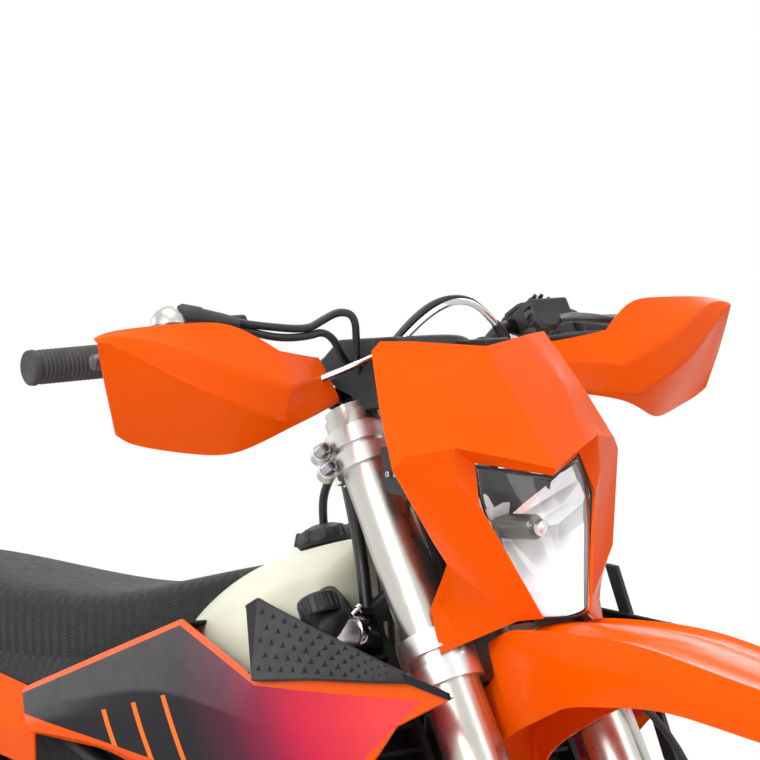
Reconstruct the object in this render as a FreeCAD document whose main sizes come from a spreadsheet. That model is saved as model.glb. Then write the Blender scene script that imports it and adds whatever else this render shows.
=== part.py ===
import FreeCAD, Part

# Enduro dirt bike, a full-size single-cylinder machine parked on its side stand.
# The upright bike has X forward, Y to the rider's left, Z up, X = 0 midway between the axles.
# The finished pieces lean to the left by lean_angle, as the bike rests on its stand.

import math
import os

import Sketcher
from FreeCAD import Placement, Rotation, Vector

doc = FreeCAD.newDocument("enduro_bike")
sheet = doc.addObject("Spreadsheet::Sheet", "sizes")

# Driving dimensions in millimetres and degrees
SIZES = {
    "wheelbase": 1480,
    "rake_angle": 26.5,
    "trail": 112,
    "lean_angle": 11,
    "body_half_w": 200,
    "head_ref_share": 0.4825,
    "head_drop_share": 0.5,
    "tip_rise_share": 0.399,
    "tail_overhang": 48,
    "running_gap": 0.3,
    "seat_gap": 0.3,
    "overrun": 20,
    "front_tyre_r": 348,
    "front_tyre_w": 90,
    "front_bead_r": 268,
    "front_rim_w": 48,
    "rear_tyre_r": 342,
    "rear_tyre_w": 130,
    "rear_bead_r": 229,
    "rear_rim_w": 62,
    "rim_depth": 20,
    "rim_flange": 10,
    "rim_wall": 3,
    "lug_height": 12,
    "front_pitch_count": 30,
    "rear_pitch_count": 26,
    "hub_core_r": 22,
    "hub_flange_r": 36,
    "hub_flange_t": 6,
    "front_hub_half": 30,
    "rear_hub_half": 42,
    "spoke_w": 4.4,
    "spoke_count": 36,
    "front_disc_r": 130,
    "rear_disc_r": 110,
    "disc_t": 4,
    "disc_band": 26,
    "disc_hole_r": 7,
    "disc_hole_count": 8,
    "front_disc_y": 42,
    "rear_disc_y": 56,
    "sprocket_r": 131,
    "sprocket_t": 6,
    "sprocket_hole_count": 6,
    "chain_y": 84,
    "roller_step_count": 2,
    "roller_skip_count": 2,
    "roller_side_count": 6,
    "chain_arc_count": 9,
    "chain_pitch": 15.875,
    "chain_plate_t": 2.4,
    "chain_plate_w": 15,
    "chain_side_gap": 1,
    "front_sprocket_r": 36,
    "countershaft_forward": 68,
    "countershaft_rise": 0,
    "axle_r": 11,
    "axle_bore_r": 6,
    "rear_axle_r": 13,
    "rear_axle_bore_r": 8,
    "axle_head_r": 17,
    "axle_head_t": 8,
    "swingarm_length": 590,
    "pivot_height": 407,
    "pivot_r": 13,
    "fork_spread": 178,
    "fork_offset": 22,
    "fork_length": 925,
    "fork_cap_r": 24,
    "fork_cap_h": 8,
    "fork_top_r": 27,
    "fork_clamp_r": 30,
    "fork_low_r": 28.5,
    "fork_seal_r": 33,
    "fork_seal_h": 26,
    "fork_tube_len": 586,
    "slider_r": 24,
    "fork_lug_r": 27,
    "fork_lug_h": 74,
    "clamp_low_s": 1015,
    "clamp_high_s": 1243,
    "clamp_low_h": 53,
    "clamp_high_h": 40,
    "clamp_ring_high_r": 33,
    "clamp_ring_low_r": 36,
    "clamp_slot_h": 5,
    "clamp_slot_low_h": 12,
    "clamp_slot_depth": 5,
    "clamp_web_w": 46,
    "clamp_bolt_r": 7,
    "clamp_bolt_l": 26,
    "stem_r": 15,
    "stem_race_h": 12,
    "head_tube_r": 32,
    "head_bore_r": 26,
    "head_tube_len": 160,
    "bar_rise": 62,
    "bar_r": 11,
    "bar_thick_r": 14.3,
    "bar_thick_half": 62,
    "bar_half": 405,
    "bar_straight_half": 78,
    "bar_knee_half": 175,
    "bar_end_rise": 74,
    "bar_end_back": 30,
    "bar_bend_r": 60,
    "bar_mount_half": 45,
    "bar_mount_w": 30,
    "bar_mount_r": 22,
    "grip_r": 16.5,
    "grip_len": 120,
    "grip_flange_r": 24,
    "grip_flange_t": 6,
    "pad_half": 96,
    "pad_deep": 74,
    "pad_tall": 58,
    "pad_round": 16,
    "plastic_t": 3,
    "front_reach": 150,
    "steer_wide": 400,
    "guard_t": 3.5,
    "lamp_deep": 56,
    "lamp_band_h": 50,
    "glass_t": 3,
    "engine_half_w": 88,
    "engine_cover_t": 26,
    "fin_count": 4,
    "cylinder_w": 118,
    "cradle_r": 14,
    "spar_r": 17,
    "rail_r": 11,
    "down_tube_r": 19,
    "frame_bend_r": 50,
    "pivot_plate_t": 16,
    "header_r": 21,
    "header_bend_r": 62,
    "silencer_r": 52,
    "cap_r": 43,
    "cap_h": 26,
    "radiator_w": 84,
    "radiator_t": 34,
    "radiator_h": 250,
    "radiator_cap_r": 19,
    "louvre_count": 9,
    "louvre_t": 4,
    "hose_r": 14,
    "brake_hose_r": 4,
    "cable_r": 4,
    "arm_half": 78,
    "arm_tip_half": 92,
    "arm_w": 22,
    "shock_r": 26,
    "spring_r": 38,
    "spring_turn_count": 7,
    "peg_len": 84,
    "peg_w": 46,
    "peg_h": 14,
    "stand_r": 11,
    "stand_foot_r": 24,
    "stand_foot_t": 8,
    "stand_forward": 35,
    "stand_out": 118,
    "stand_boss_r": 17,
    "stand_boss_t": 14,
}
for row, (alias, value) in enumerate(SIZES.items(), 1):
    sheet.set("A%d" % row, alias)
    sheet.set("B%d" % row, str(value))
    sheet.setAlias("B%d" % row, alias)
doc.recompute()


class Size(float):
    """A length that carries its value and the sheet expression that gives it."""

    def __new__(cls, value, text):
        size = super().__new__(cls, value)
        size.text = text
        return size

    def __add__(self, other):
        return Size(float(self) + float(other), "(%s + %s)" % (self.text, text_of(other)))

    def __radd__(self, other):
        return Size(float(other) + float(self), "(%s + %s)" % (text_of(other), self.text))

    def __sub__(self, other):
        return Size(float(self) - float(other), "(%s - %s)" % (self.text, text_of(other)))

    def __rsub__(self, other):
        return Size(float(other) - float(self), "(%s - %s)" % (text_of(other), self.text))

    def __mul__(self, other):
        return Size(float(self) * float(other), "(%s * %s)" % (self.text, text_of(other)))

    def __rmul__(self, other):
        return Size(float(other) * float(self), "(%s * %s)" % (text_of(other), self.text))

    def __truediv__(self, other):
        return Size(float(self) / float(other), "(%s / %s)" % (self.text, text_of(other)))

    def __neg__(self):
        return Size(-float(self), "(0 - %s)" % self.text)


def text_of(number):
    return number.text if isinstance(number, Size) else repr(float(number))


class Sheet:
    """Gives each driving dimension of the sheet by its name."""

    def __getattr__(self, alias):
        return Size(getattr(sheet, alias), "sizes." + alias)


s = Sheet()


def sin(deg):
    return math.sin(math.radians(deg))


def cos(deg):
    return math.cos(math.radians(deg))


# Places that follow from the driving dimensions

FRONT_X = s.wheelbase / 2
REAR_X = -s.wheelbase / 2
PIVOT_X = REAR_X + s.swingarm_length
AXIS_FOOT_X = FRONT_X + s.trail
AXLE_N = s.front_tyre_r * sin(s.rake_angle) - s.trail * cos(s.rake_angle)
AXLE_S = s.trail * sin(s.rake_angle) + s.front_tyre_r * cos(s.rake_angle)
FORK_TOP_S = AXLE_S + s.fork_length
CLAMP_SPAN = s.clamp_high_s - s.clamp_low_s
HEAD_S = s.clamp_low_s + s.head_ref_share * CLAMP_SPAN
BAY_LENGTH = AXIS_FOOT_X - HEAD_S * sin(s.rake_angle) - PIVOT_X
BAY_HEIGHT = HEAD_S * cos(s.rake_angle) - s.pivot_height
FORK_Y = s.fork_spread / 2

BIKE = Placement()
STEER = Placement(Vector(AXIS_FOOT_X, 0, 0), Rotation(Vector(0, 1, 0), -s.rake_angle))
TIP_HEIGHT = HEAD_S * cos(s.rake_angle) + s.tip_rise_share * BAY_HEIGHT

CARCASS_SHARES = ((0, 0.36), (0.16, 0.42), (0.34, 0.82), (0.62, 0.95), (0.86, 0.84), (0.97, 0.6), (1, 0.26))
LUG_TIP_SHARES = ((0.8, 0.97), (0.93, 0.72), (1, 0.24))


def tyre_corners(shares, tyre_r, tyre_w, bead_r):
    """One side of a tyre's section, from the bead to the crown: radius and place across."""
    foot = bead_r + s.running_gap
    return [(foot + (tyre_r - foot) * up, tyre_w / 2 * out) for up, out in shares]


def lug_angle(pitch_count):
    """Half of the angle that one lug takes, as lugs on crown and shoulders take turns."""
    return 90 / float(pitch_count)


def tread_drop(tyre_r, tyre_w, bead_r, pitch_count):
    """How far a leaning wheel must rise to stand on its lugs instead of on its centre line."""
    reach = max(radius * cos(lug_angle(pitch_count)) * cos(s.lean_angle) + y * sin(s.lean_angle)
                for radius, y in tyre_corners(LUG_TIP_SHARES, tyre_r, tyre_w, bead_r))
    return reach - tyre_r * cos(s.lean_angle)


FRONT_LIFT = tread_drop(s.front_tyre_r, s.front_tyre_w, s.front_bead_r, s.front_pitch_count)
REAR_LIFT = tread_drop(s.rear_tyre_r, s.rear_tyre_w, s.rear_bead_r, s.rear_pitch_count)
PITCH = math.degrees(math.asin((REAR_LIFT - FRONT_LIFT) / s.wheelbase))
LEAN = Placement(
    Vector((s.rear_tyre_r + s.tail_overhang - s.front_tyre_r) / 2,
           -TIP_HEIGHT * sin(s.lean_angle),
           (FRONT_LIFT + REAR_LIFT) / 2),
    Rotation(Vector(0, 1, 0), PITCH).multiply(Rotation(Vector(1, 0, 0), -s.lean_angle)))


def bay(x_share, y_share, z_share):
    """A point of the upright bike, in shares of the bay between the swingarm pivot and the head."""
    return Vector(PIVOT_X + x_share * BAY_LENGTH, y_share * s.body_half_w,
                  s.pivot_height + z_share * BAY_HEIGHT)


def fore(n_share, y_share, s_share):
    """A point that turns with the fork: ahead of the steering axis, to the left, and up it."""
    return Vector(n_share * s.front_reach, y_share * s.body_half_w,
                  s.clamp_low_s + s_share * CLAMP_SPAN)


nodes = {}


def keep(label, piece, place=BIKE):
    """Names a finished sub-part and sets it leaning on its wheels."""
    piece.Placement = LEAN.multiply(place)
    piece.Label = label
    nodes[label] = piece
    return piece


def shaped(label, shape, place=BIKE):
    """A sub-part whose form is swept, lofted or moulded from computed points."""
    piece = doc.addObject("Part::Feature", "shaped")
    piece.Shape = shape
    return keep(label, piece, place)


def prim(kind, place=None, **lengths):
    """A primitive whose lengths are bound to the sheet."""
    piece = doc.addObject("Part::" + kind, kind.lower())
    for name, length in lengths.items():
        piece.setExpression(name, text_of(length))
    if place:
        piece.Placement = place
    return piece


def fused(*pieces):
    joined = doc.addObject("Part::MultiFuse", "fused")
    joined.Shapes = list(pieces)
    joined.Refine = True
    return joined


def cut(base, *tools):
    piece = doc.addObject("Part::Cut", "cut")
    piece.Base = base
    piece.Tool = tools[0] if len(tools) == 1 else fused(*tools)
    return piece


def along_y(x, y, z):
    """Places a cylinder so that it starts at a point and runs to the left."""
    return Placement(Vector(x, y, z), Rotation(Vector(1, 0, 0), -90))


def plane(body, role):
    return next(feature for feature in body.Origin.OriginFeatures if feature.Role == role)


def profile(body, role, corners):
    """A closed outline in a body, each corner held by lengths from the sheet."""
    sketch = body.newObject("Sketcher::SketchObject", "profile")
    sketch.AttachmentSupport = (plane(body, role), "")
    sketch.MapMode = "FlatFace"
    count = len(corners)
    for i, (x, y) in enumerate(corners):
        x_next, y_next = corners[(i + 1) % count]
        sketch.addGeometry(Part.LineSegment(Vector(x, y, 0), Vector(x_next, y_next, 0)), False)
    for i in range(count):
        sketch.addConstraint(Sketcher.Constraint("Coincident", i, 2, (i + 1) % count, 1))
    for i, corner in enumerate(corners):
        for kind, length in zip(("DistanceX", "DistanceY"), corner):
            held = sketch.addConstraint(Sketcher.Constraint(kind, -1, 1, i, 1, float(length)))
            if isinstance(length, Size):
                sketch.setExpression("Constraints[%d]" % held, length.text)
    return sketch


def turned(name, corners):
    """A body turned about its own Y axis from corners of radius and place along the axis."""
    body = doc.addObject("PartDesign::Body", name)
    sketch = profile(body, "XY_Plane", corners)
    spin = body.newObject("PartDesign::Revolution", "spin")
    spin.Profile = sketch
    spin.ReferenceAxis = (sketch, ["V_Axis"])
    spin.Angle = 360
    sketch.Visibility = False
    body.Tip = spin
    return body


def padded(name, role, corners, length, both=True):
    """A body padded from an outline, to both sides of its plane."""
    body = doc.addObject("PartDesign::Body", name)
    sketch = profile(body, role, corners)
    pad = body.newObject("PartDesign::Pad", "pad")
    pad.Profile = sketch
    pad.setExpression("Length", text_of(length))
    pad.SideType = "Symmetric" if both else "One side"
    body.Tip = pad
    return body


def around_holes(body, radius, at_radius, depth, count):
    """Cuts a ring of round holes through a turned body, on its own Y axis."""
    sketch = body.newObject("Sketcher::SketchObject", "hole")
    sketch.AttachmentSupport = (plane(body, "XZ_Plane"), "")
    sketch.MapMode = "FlatFace"
    sketch.addGeometry(Part.Circle(Vector(at_radius, 0, 0), Vector(0, 0, 1), radius), False)
    held = sketch.addConstraint(Sketcher.Constraint("Radius", 0, float(radius)))
    sketch.setExpression("Constraints[%d]" % held, text_of(radius))
    held = sketch.addConstraint(Sketcher.Constraint("DistanceX", -1, 1, 0, 3, float(at_radius)))
    sketch.setExpression("Constraints[%d]" % held, text_of(at_radius))
    sketch.addConstraint(Sketcher.Constraint("PointOnObject", 0, 3, -1))
    doc.recompute()
    pocket = body.newObject("PartDesign::Pocket", "pocket")
    pocket.Profile = sketch
    pocket.setExpression("Length", text_of(depth))
    pocket.SideType = "Symmetric"
    doc.recompute()
    ring = body.newObject("PartDesign::PolarPattern", "ring")
    ring.Originals = [pocket]
    ring.Axis = (plane(body, "Y_Axis"), [""])
    ring.Angle = 360
    ring.Occurrences = int(count)
    body.Tip = ring
    return body


def bent(points, bend):
    """A wire of straight runs joined by tangent arcs of one radius."""
    edges = []
    start = points[0]
    for before, corner, after in zip(points, points[1:], points[2:]):
        back = (before - corner).normalize()
        ahead = (after - corner).normalize()
        half = back.getAngle(ahead) / 2
        reach = min(bend / math.tan(half), CORNER_SHARE * min((before - corner).Length,
                                                              (after - corner).Length))
        radius = reach * math.tan(half)
        first = corner + back * reach
        last = corner + ahead * reach
        middle = corner + (back + ahead).normalize() * (radius / math.sin(half) - radius)
        edges.append(Part.LineSegment(start, first).toShape())
        edges.append(Part.Arc(first, middle, last).toShape())
        start = last
    edges.append(Part.LineSegment(start, points[-1]).toShape())
    return Part.Wire(edges)


CORNER_SHARE = 0.45


def rod(points, radius, bend=0):
    """A round bar or tube swept along straight runs and arcs, shown solid."""
    if len(points) == 2:
        span = points[1] - points[0]
        return Part.makeCylinder(radius, span.Length, points[0], span)
    circle = Part.Wire([Part.makeCircle(radius, points[0], points[1] - points[0])])
    return bent(points, bend).makePipeShell([circle], True, False)


def mirrored(shape):
    return shape.mirror(Vector(0, 0, 0), Vector(0, 1, 0))


def pair(shape):
    """The same solid on both sides of the bike."""
    return Part.makeCompound([shape, mirrored(shape)])


def polygon(points):
    return Part.Face(Part.makePolygon(list(points) + [points[0]]))


def flat_solid(rings):
    """A solid from flat faces, each a ring of points wound the same way round as seen from outside."""
    return Part.Solid(Part.Shell([polygon(ring) for ring in rings]))


def closed_solid(faces):
    """A solid from faces given as rings of points, all wound the same way round."""
    fans = [(ring[0], b, c) for ring in faces for b, c in zip(ring[1:], ring[2:])]
    if sum(a.dot(b.cross(c)) for a, b, c in fans) < 0:
        faces = [list(reversed(ring)) for ring in faces]
    pieces = []
    for ring in faces:
        for second, third in zip(ring[1:], ring[2:]):
            if (second - ring[0]).cross(third - ring[0]).Length:
                pieces.append(polygon((ring[0], second, third)))
    return Part.Solid(Part.Shell(pieces))


def moulded(points, rings, inward):
    """A moulded panel: rings of point numbers for its outer faces, and the offset to its inside."""
    offsets = inward if isinstance(inward, list) else [inward] * len(points)
    inner = [point + offset for point, offset in zip(points, offsets)]
    faces = [[points[i] for i in ring] for ring in rings]
    faces += [[inner[i] for i in reversed(ring)] for ring in rings]
    sides = {(a, b) for ring in rings for a, b in zip(ring, ring[1:] + ring[:1])}
    for a, b in sorted(sides):
        if (b, a) not in sides:
            faces.append([points[b], points[a], inner[a], inner[b]])
    return closed_solid(faces)


def ribbon(rows, inward):
    """A moulded panel from rows of points, each row as long as the next."""
    wide = len(rows[0])
    if isinstance(inward, list):
        inward = [offset for offset in inward for _ in range(wide)]
    points = [point for row in rows for point in row]
    numbers = iter(range(len(points)))
    grid = [[next(numbers) for _ in row] for row in rows]
    rings = []
    for near, far in zip(grid, grid[1:]):
        for a, b, c, d in zip(near, near[1:], far[1:], far):
            rings += [[a, b, c], [a, c, d]]
    return moulded(points, rings, inward)


LETTERS = "ABCDEFGHIJKLMNOPQRSTUVWXYZ"


def ring_numbers(words):
    """Faces written as words: each letter names a point of the table, A the first."""
    return [[LETTERS.index(letter) for letter in word] for word in words.split()]


def under(line, thick):
    """For each point of a side line that runs backwards or forwards, the offset to its underside."""
    offsets = []
    for i in range(len(line)):
        run = line[min(i + 1, len(line) - 1)] - line[max(i - 1, 0)]
        down = Vector(run.z, 0, -run.x).normalize() * thick
        offsets.append(down)
    return offsets


def skinned(sections, ruled=True):
    """A solid through closed outlines of as many points each."""
    wires = [Part.makePolygon(list(section) + [section[0]]) for section in sections]
    return Part.makeLoft(wires, True, ruled)


# Wheels

def tyre(label, tyre_r, tyre_w, bead_r, pitch_count, place):
    """A knobbed tyre of flat faces, its lugs on the crown and on both shoulders in turn."""
    half = lug_angle(pitch_count)
    seat_r = bead_r / cos(half)
    right = tyre_corners(CARCASS_SHARES, tyre_r - s.lug_height, tyre_w, seat_r)[::-1]
    tips = tyre_corners(LUG_TIP_SHARES, tyre_r, tyre_w, seat_r)[::-1]
    left = [(radius, -y) for radius, y in right[::-1]]
    left_tips = [(radius, -y) for radius, y in tips[::-1]]
    crown = [left_tips[-1], tips[0]]
    crown_wall = [left[-1]] + crown + [right[0]]
    left_wall = [left[-3]] + left_tips[:-1] + [left[-2]]
    right_wall = [right[1]] + tips[1:] + [right[2]]
    crown_loop = left + crown + right
    shoulder_loop = left[:-3] + left_wall + [left[-1], right[0]] + right_wall + right[3:]

    def at(corner, angle):
        radius, y = corner
        return Vector(radius * sin(angle), y, -radius * cos(angle))

    rings = []
    for i in range(int(pitch_count) * 2):
        start = (2 * i - 1) * half
        end = start + 2 * half
        line, walls = (shoulder_loop, (left_wall, right_wall)) if i % 2 else (crown_loop, (crown_wall,))
        for p, q in zip(line, line[1:] + line[:1]):
            rings.append([at(p, start), at(q, start), at(q, end), at(p, end)])
        for wall in walls:
            rings.append([at(corner, start) for corner in reversed(wall)])
            rings.append([at(corner, end) for corner in wall])
    shaped(label, flat_solid(rings), place)


def spokes(flange_r, flange_y, rim_r, turn_share):
    """Wire spokes from both hub flanges to the rim, crossing one another."""
    wires = []
    per_side = int(s.spoke_count / 2)
    step = 360 / per_side
    for side in (-1, 1):
        for i in range(per_side):
            way = 1 if i % 2 else -1
            angle = i * step + side * step / 4
            end = angle + way * turn_share * step
            start = Vector(flange_r * cos(angle), side * flange_y, flange_r * sin(angle))
            stop = Vector(rim_r * cos(end), side * flange_y * SPOKE_IN_SHARE, rim_r * sin(end))
            run = stop - start
            across = run.cross(Vector(0, 1, 0)).normalize() * (s.spoke_w / 2)
            up = run.cross(across).normalize() * (s.spoke_w / 2)
            wires.append(polygon((start + across, start + up, start - across, start - up)).extrude(run))
    return wires


SPOKE_IN_SHARE = 0.2


def wire_wheel(label, name, bead_r, rim_w, hub_half, bore_r, turn_share, place):
    """Rim, spokes and hub, laced as one rigid wheel."""
    rim_in = bead_r - s.rim_depth
    lip = bead_r + s.rim_flange
    edge = rim_w / 2
    well = rim_w / 2 - s.rim_depth / 2
    rim = turned(name + "_rim", [
        (rim_in, -well), (bead_r - s.rim_flange, -edge), (lip, -edge), (lip, -edge + s.rim_wall),
        (bead_r, -edge + s.rim_wall + s.rim_wall), (bead_r, edge - s.rim_wall - s.rim_wall),
        (lip, edge - s.rim_wall), (lip, edge), (bead_r - s.rim_flange, edge), (rim_in, well)])
    flange = hub_half - s.hub_flange_t
    hub = turned(name + "_hub", [
        (bore_r, -hub_half), (s.hub_core_r, -hub_half), (s.hub_flange_r, -hub_half + s.hub_flange_t / 2),
        (s.hub_flange_r, -flange), (s.hub_core_r, -flange + s.hub_flange_t),
        (s.hub_core_r, flange - s.hub_flange_t), (s.hub_flange_r, flange),
        (s.hub_flange_r, hub_half - s.hub_flange_t / 2), (s.hub_core_r, hub_half), (bore_r, hub_half)])
    doc.recompute()
    wires = spokes(s.hub_flange_r - s.spoke_w, hub_half - s.hub_flange_t / 2, rim_in + s.spoke_w, turn_share)
    wheel = rim.Shape.fuse([hub.Shape] + wires)
    doc.removeObject(rim.Name)
    doc.removeObject(hub.Name)
    shaped(label, wheel, place)


def brake_disc(label, name, disc_r, y_middle, hub_half, place):
    """A brake disc with its carrier, held on the end of the hub."""
    near = y_middle - s.disc_t / 2
    far = y_middle + s.disc_t / 2
    body = turned(name, [
        (s.hub_core_r, hub_half), (s.hub_core_r + s.hub_flange_t, hub_half),
        (s.hub_core_r + s.hub_flange_t, near),
        (disc_r, near), (disc_r, far), (s.hub_core_r, far)])
    holes = around_holes(body, s.disc_hole_r, disc_r - s.disc_band / 2, far * 4, s.disc_hole_count)
    keep(label, holes, place)


def wheels():
    front = Placement(Vector(FRONT_X, 0, s.front_tyre_r), Rotation())
    rear = Placement(Vector(REAR_X, 0, s.rear_tyre_r), Rotation())
    right = Rotation(Vector(0, 0, 1), 180)
    tyre("front_tyre", s.front_tyre_r, s.front_tyre_w, s.front_bead_r, s.front_pitch_count, front)
    tyre("rear_tyre", s.rear_tyre_r, s.rear_tyre_w, s.rear_bead_r, s.rear_pitch_count, rear)
    wire_wheel("front_wheel", "front", s.front_bead_r, s.front_rim_w, s.front_hub_half,
               s.axle_r + s.running_gap, FRONT_LACE_SHARE, front)
    wire_wheel("rear_wheel", "rear", s.rear_bead_r, s.rear_rim_w, s.rear_hub_half,
               s.rear_axle_r + s.running_gap, REAR_LACE_SHARE, rear)
    brake_disc("front_disc", "front_disc_body", s.front_disc_r, s.front_disc_y, s.front_hub_half, front)
    brake_disc("rear_disc", "rear_disc_body", s.rear_disc_r, s.rear_disc_y, s.rear_hub_half,
               rear.multiply(Placement(Vector(), right)))
    near = s.chain_y - s.sprocket_t / 2
    far = s.chain_y + s.sprocket_t / 2
    sprocket = turned("sprocket_body", [
        (s.hub_core_r, s.rear_hub_half), (s.hub_flange_r, s.rear_hub_half), (s.hub_flange_r, near),
        (s.sprocket_r, near), (s.sprocket_r, far), (s.hub_core_r, far)])
    keep("sprocket", around_holes(sprocket, SPROCKET_HOLE_SHARE * s.sprocket_r,
                                  SPROCKET_RING_SHARE * s.sprocket_r,
                                  far * 4, s.sprocket_hole_count), rear)


FRONT_LACE_SHARE = 2.2
REAR_LACE_SHARE = 2
SPROCKET_HOLE_SHARE = 0.17
SPROCKET_RING_SHARE = 0.6


# Steering: all in the fork's own frame, its axis upright

def fork_leg(side):
    """One outer fork tube with its cap and seal collar, tapered where the clamps let go."""
    low = FORK_TOP_S - s.fork_tube_len
    clamp_low = s.clamp_low_s - s.clamp_low_h / 2
    clamp_high = s.clamp_high_s - s.clamp_high_h / 2
    body = turned("fork_tube_body", [
        (s.slider_r + s.seat_gap, low), (s.fork_seal_r, low), (s.fork_seal_r, low + s.fork_seal_h),
        (s.fork_low_r, low + s.fork_seal_h * 2), (s.fork_clamp_r, clamp_low), (s.fork_clamp_r, s.clamp_low_s),
        (s.fork_top_r, clamp_high), (s.fork_top_r, FORK_TOP_S - s.fork_cap_h),
        (s.fork_cap_r, FORK_TOP_S - s.fork_cap_h), (s.fork_cap_r, FORK_TOP_S), (s.slider_r / 2, FORK_TOP_S),
        (s.slider_r / 2, FORK_TOP_S - s.fork_cap_h * 2),
        (s.slider_r + s.seat_gap, FORK_TOP_S - s.fork_cap_h * 3)])
    body.Placement = upright(s.fork_offset, side * FORK_Y, 0)
    return body


def upright(n, y, up):
    """Turns a body made about its Y axis so that the axis stands up."""
    return Placement(Vector(n, y, up), Rotation(Vector(1, 0, 0), 90))


def fork_lower(side):
    """One sliding tube with the cast lug that holds the axle ahead of it."""
    low = AXLE_S - s.fork_lug_r
    top = FORK_TOP_S - s.fork_tube_len + s.fork_seal_h * 3
    slider = prim("Cylinder", Placement(Vector(s.fork_offset, side * FORK_Y, low + s.fork_lug_r), Rotation()),
                  Radius=s.slider_r, Height=top - low - s.fork_lug_r)
    boot = prim("Cone", Placement(Vector(s.fork_offset, side * FORK_Y, low), Rotation()),
                Radius1=s.fork_lug_r * LUG_FOOT_SHARE, Radius2=s.fork_lug_r, Height=s.fork_lug_h)
    collar = prim("Cone", Placement(Vector(s.fork_offset, side * FORK_Y, low + s.fork_lug_h), Rotation()),
                  Radius1=s.fork_lug_r, Radius2=s.slider_r, Height=s.fork_lug_r)
    eye = prim("Cylinder", along_y(AXLE_N, side * FORK_Y - s.slider_r, AXLE_S),
               Radius=s.fork_lug_r * EYE_SHARE, Height=s.slider_r * 2)
    web = prim("Box", Placement(Vector(s.fork_offset, side * FORK_Y - s.slider_r / 2,
                                       AXLE_S - s.fork_lug_r / 2),
                                Rotation()),
               Length=AXLE_N - s.fork_offset, Width=s.slider_r, Height=s.fork_lug_r + s.fork_lug_r / 2)
    bore = prim("Cylinder", along_y(AXLE_N, side * FORK_Y - s.slider_r - s.overrun, AXLE_S),
                Radius=s.axle_r, Height=(s.slider_r + s.overrun) * 2)
    return cut(fused(slider, boot, collar, eye, web), bore)


LUG_FOOT_SHARE = 0.72
EYE_SHARE = 0.78


def forks():
    compound = doc.addObject("Part::Compound", "fork_tubes")
    compound.Links = [fork_leg(-1), fork_leg(1)]
    keep("fork_tubes", compound, STEER)
    compound = doc.addObject("Part::Compound", "fork_lowers")
    compound.Links = [fork_lower(-1), fork_lower(1)]
    keep("fork_lowers", compound, STEER)
    doc.recompute()
    outer = s.slider_r + s.seat_gap * 4 + s.plastic_t * 2
    top = FORK_TOP_S - s.fork_tube_len - s.fork_seal_h / 2
    low = AXLE_S + s.fork_lug_h + s.fork_lug_r
    ring = Part.makeCylinder(outer, top - low, Vector(s.fork_offset, FORK_Y, low))
    hollow = Part.makeCylinder(outer - s.plastic_t, s.wheelbase, Vector(s.fork_offset, FORK_Y, 0))
    back = Part.makeBox(outer * 2, outer * 4, s.wheelbase,
                        Vector(s.fork_offset - outer * (1 + GUARD_WRAP_SHARE * 2), FORK_Y - outer * 2, 0))
    shell = ring.cut(hollow).cut(back)
    foot = Part.makeBox(s.plastic_t * 3, s.slider_r, s.fork_lug_r * 2,
                        Vector(s.fork_offset + s.slider_r + s.seat_gap, FORK_Y - s.slider_r / 2, low))
    shaped("fork_guards", pair(shell.fuse(foot)), STEER)
    axle_end = FORK_Y + s.slider_r
    axle = turned("front_axle_body", [
        (s.axle_bore_r, -axle_end - s.axle_head_t), (s.axle_head_r, -axle_end - s.axle_head_t),
        (s.axle_head_r, -axle_end - s.seat_gap), (s.axle_r, -axle_end - s.seat_gap),
        (s.axle_r, -s.front_hub_half - s.seat_gap), (s.axle_r, axle_end + s.axle_head_t),
        (s.axle_bore_r, axle_end + s.axle_head_t)])
    keep("front_axle", axle, STEER.multiply(Placement(Vector(AXLE_N, 0, AXLE_S), Rotation())))


GUARD_WRAP_SHARE = 0.1


def clamp(low, high, ring_r, tube_r, slot_h, rear_web_share):
    """A fork clamp: a bridge across the stem, two split rings and their pinch bolts."""
    thick = high - low
    bridge = prim("Box", Placement(Vector(-s.clamp_web_w * rear_web_share, -FORK_Y, low), Rotation()),
                  Length=s.clamp_web_w, Width=s.fork_spread, Height=thick)
    pieces = [bridge, prim("Cylinder", Placement(Vector(0, 0, low), Rotation()),
                           Radius=s.stem_r + s.clamp_web_w / 4,
                           Height=thick)]
    cuts = []
    for side in (-1, 1):
        ring = prim("Cylinder", Placement(Vector(s.fork_offset, side * FORK_Y, low), Rotation()),
                    Radius=ring_r, Height=thick)
        lug = prim("Box", Placement(Vector(s.fork_offset - ring_r - s.clamp_bolt_r,
                                           side * FORK_Y - s.clamp_bolt_l / 2,
                                           low), Rotation()),
                   Length=ring_r, Width=s.clamp_bolt_l, Height=thick)
        pieces += [ring, lug]
        cuts.append(prim("Cylinder", Placement(Vector(s.fork_offset, side * FORK_Y, low - s.overrun),
                                               Rotation()),
                         Radius=tube_r, Height=thick + s.overrun * 2))
        groove = prim("Cylinder", Placement(Vector(s.fork_offset, side * FORK_Y, (low + high - slot_h) / 2),
                                            Rotation()), Radius=ring_r + s.overrun, Height=slot_h)
        core = prim("Cylinder", Placement(Vector(s.fork_offset, side * FORK_Y, low - s.overrun), Rotation()),
                    Radius=ring_r - s.clamp_slot_depth, Height=thick + s.overrun * 2)
        inner = prim("Box", Placement(Vector(-s.steer_wide / 2, -ring_r if side > 0 else -FORK_Y, low),
                                      Rotation()),
                     Length=s.steer_wide, Width=FORK_Y + ring_r, Height=thick)
        cuts.append(cut(groove, core, inner))
    return pieces, cuts


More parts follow.
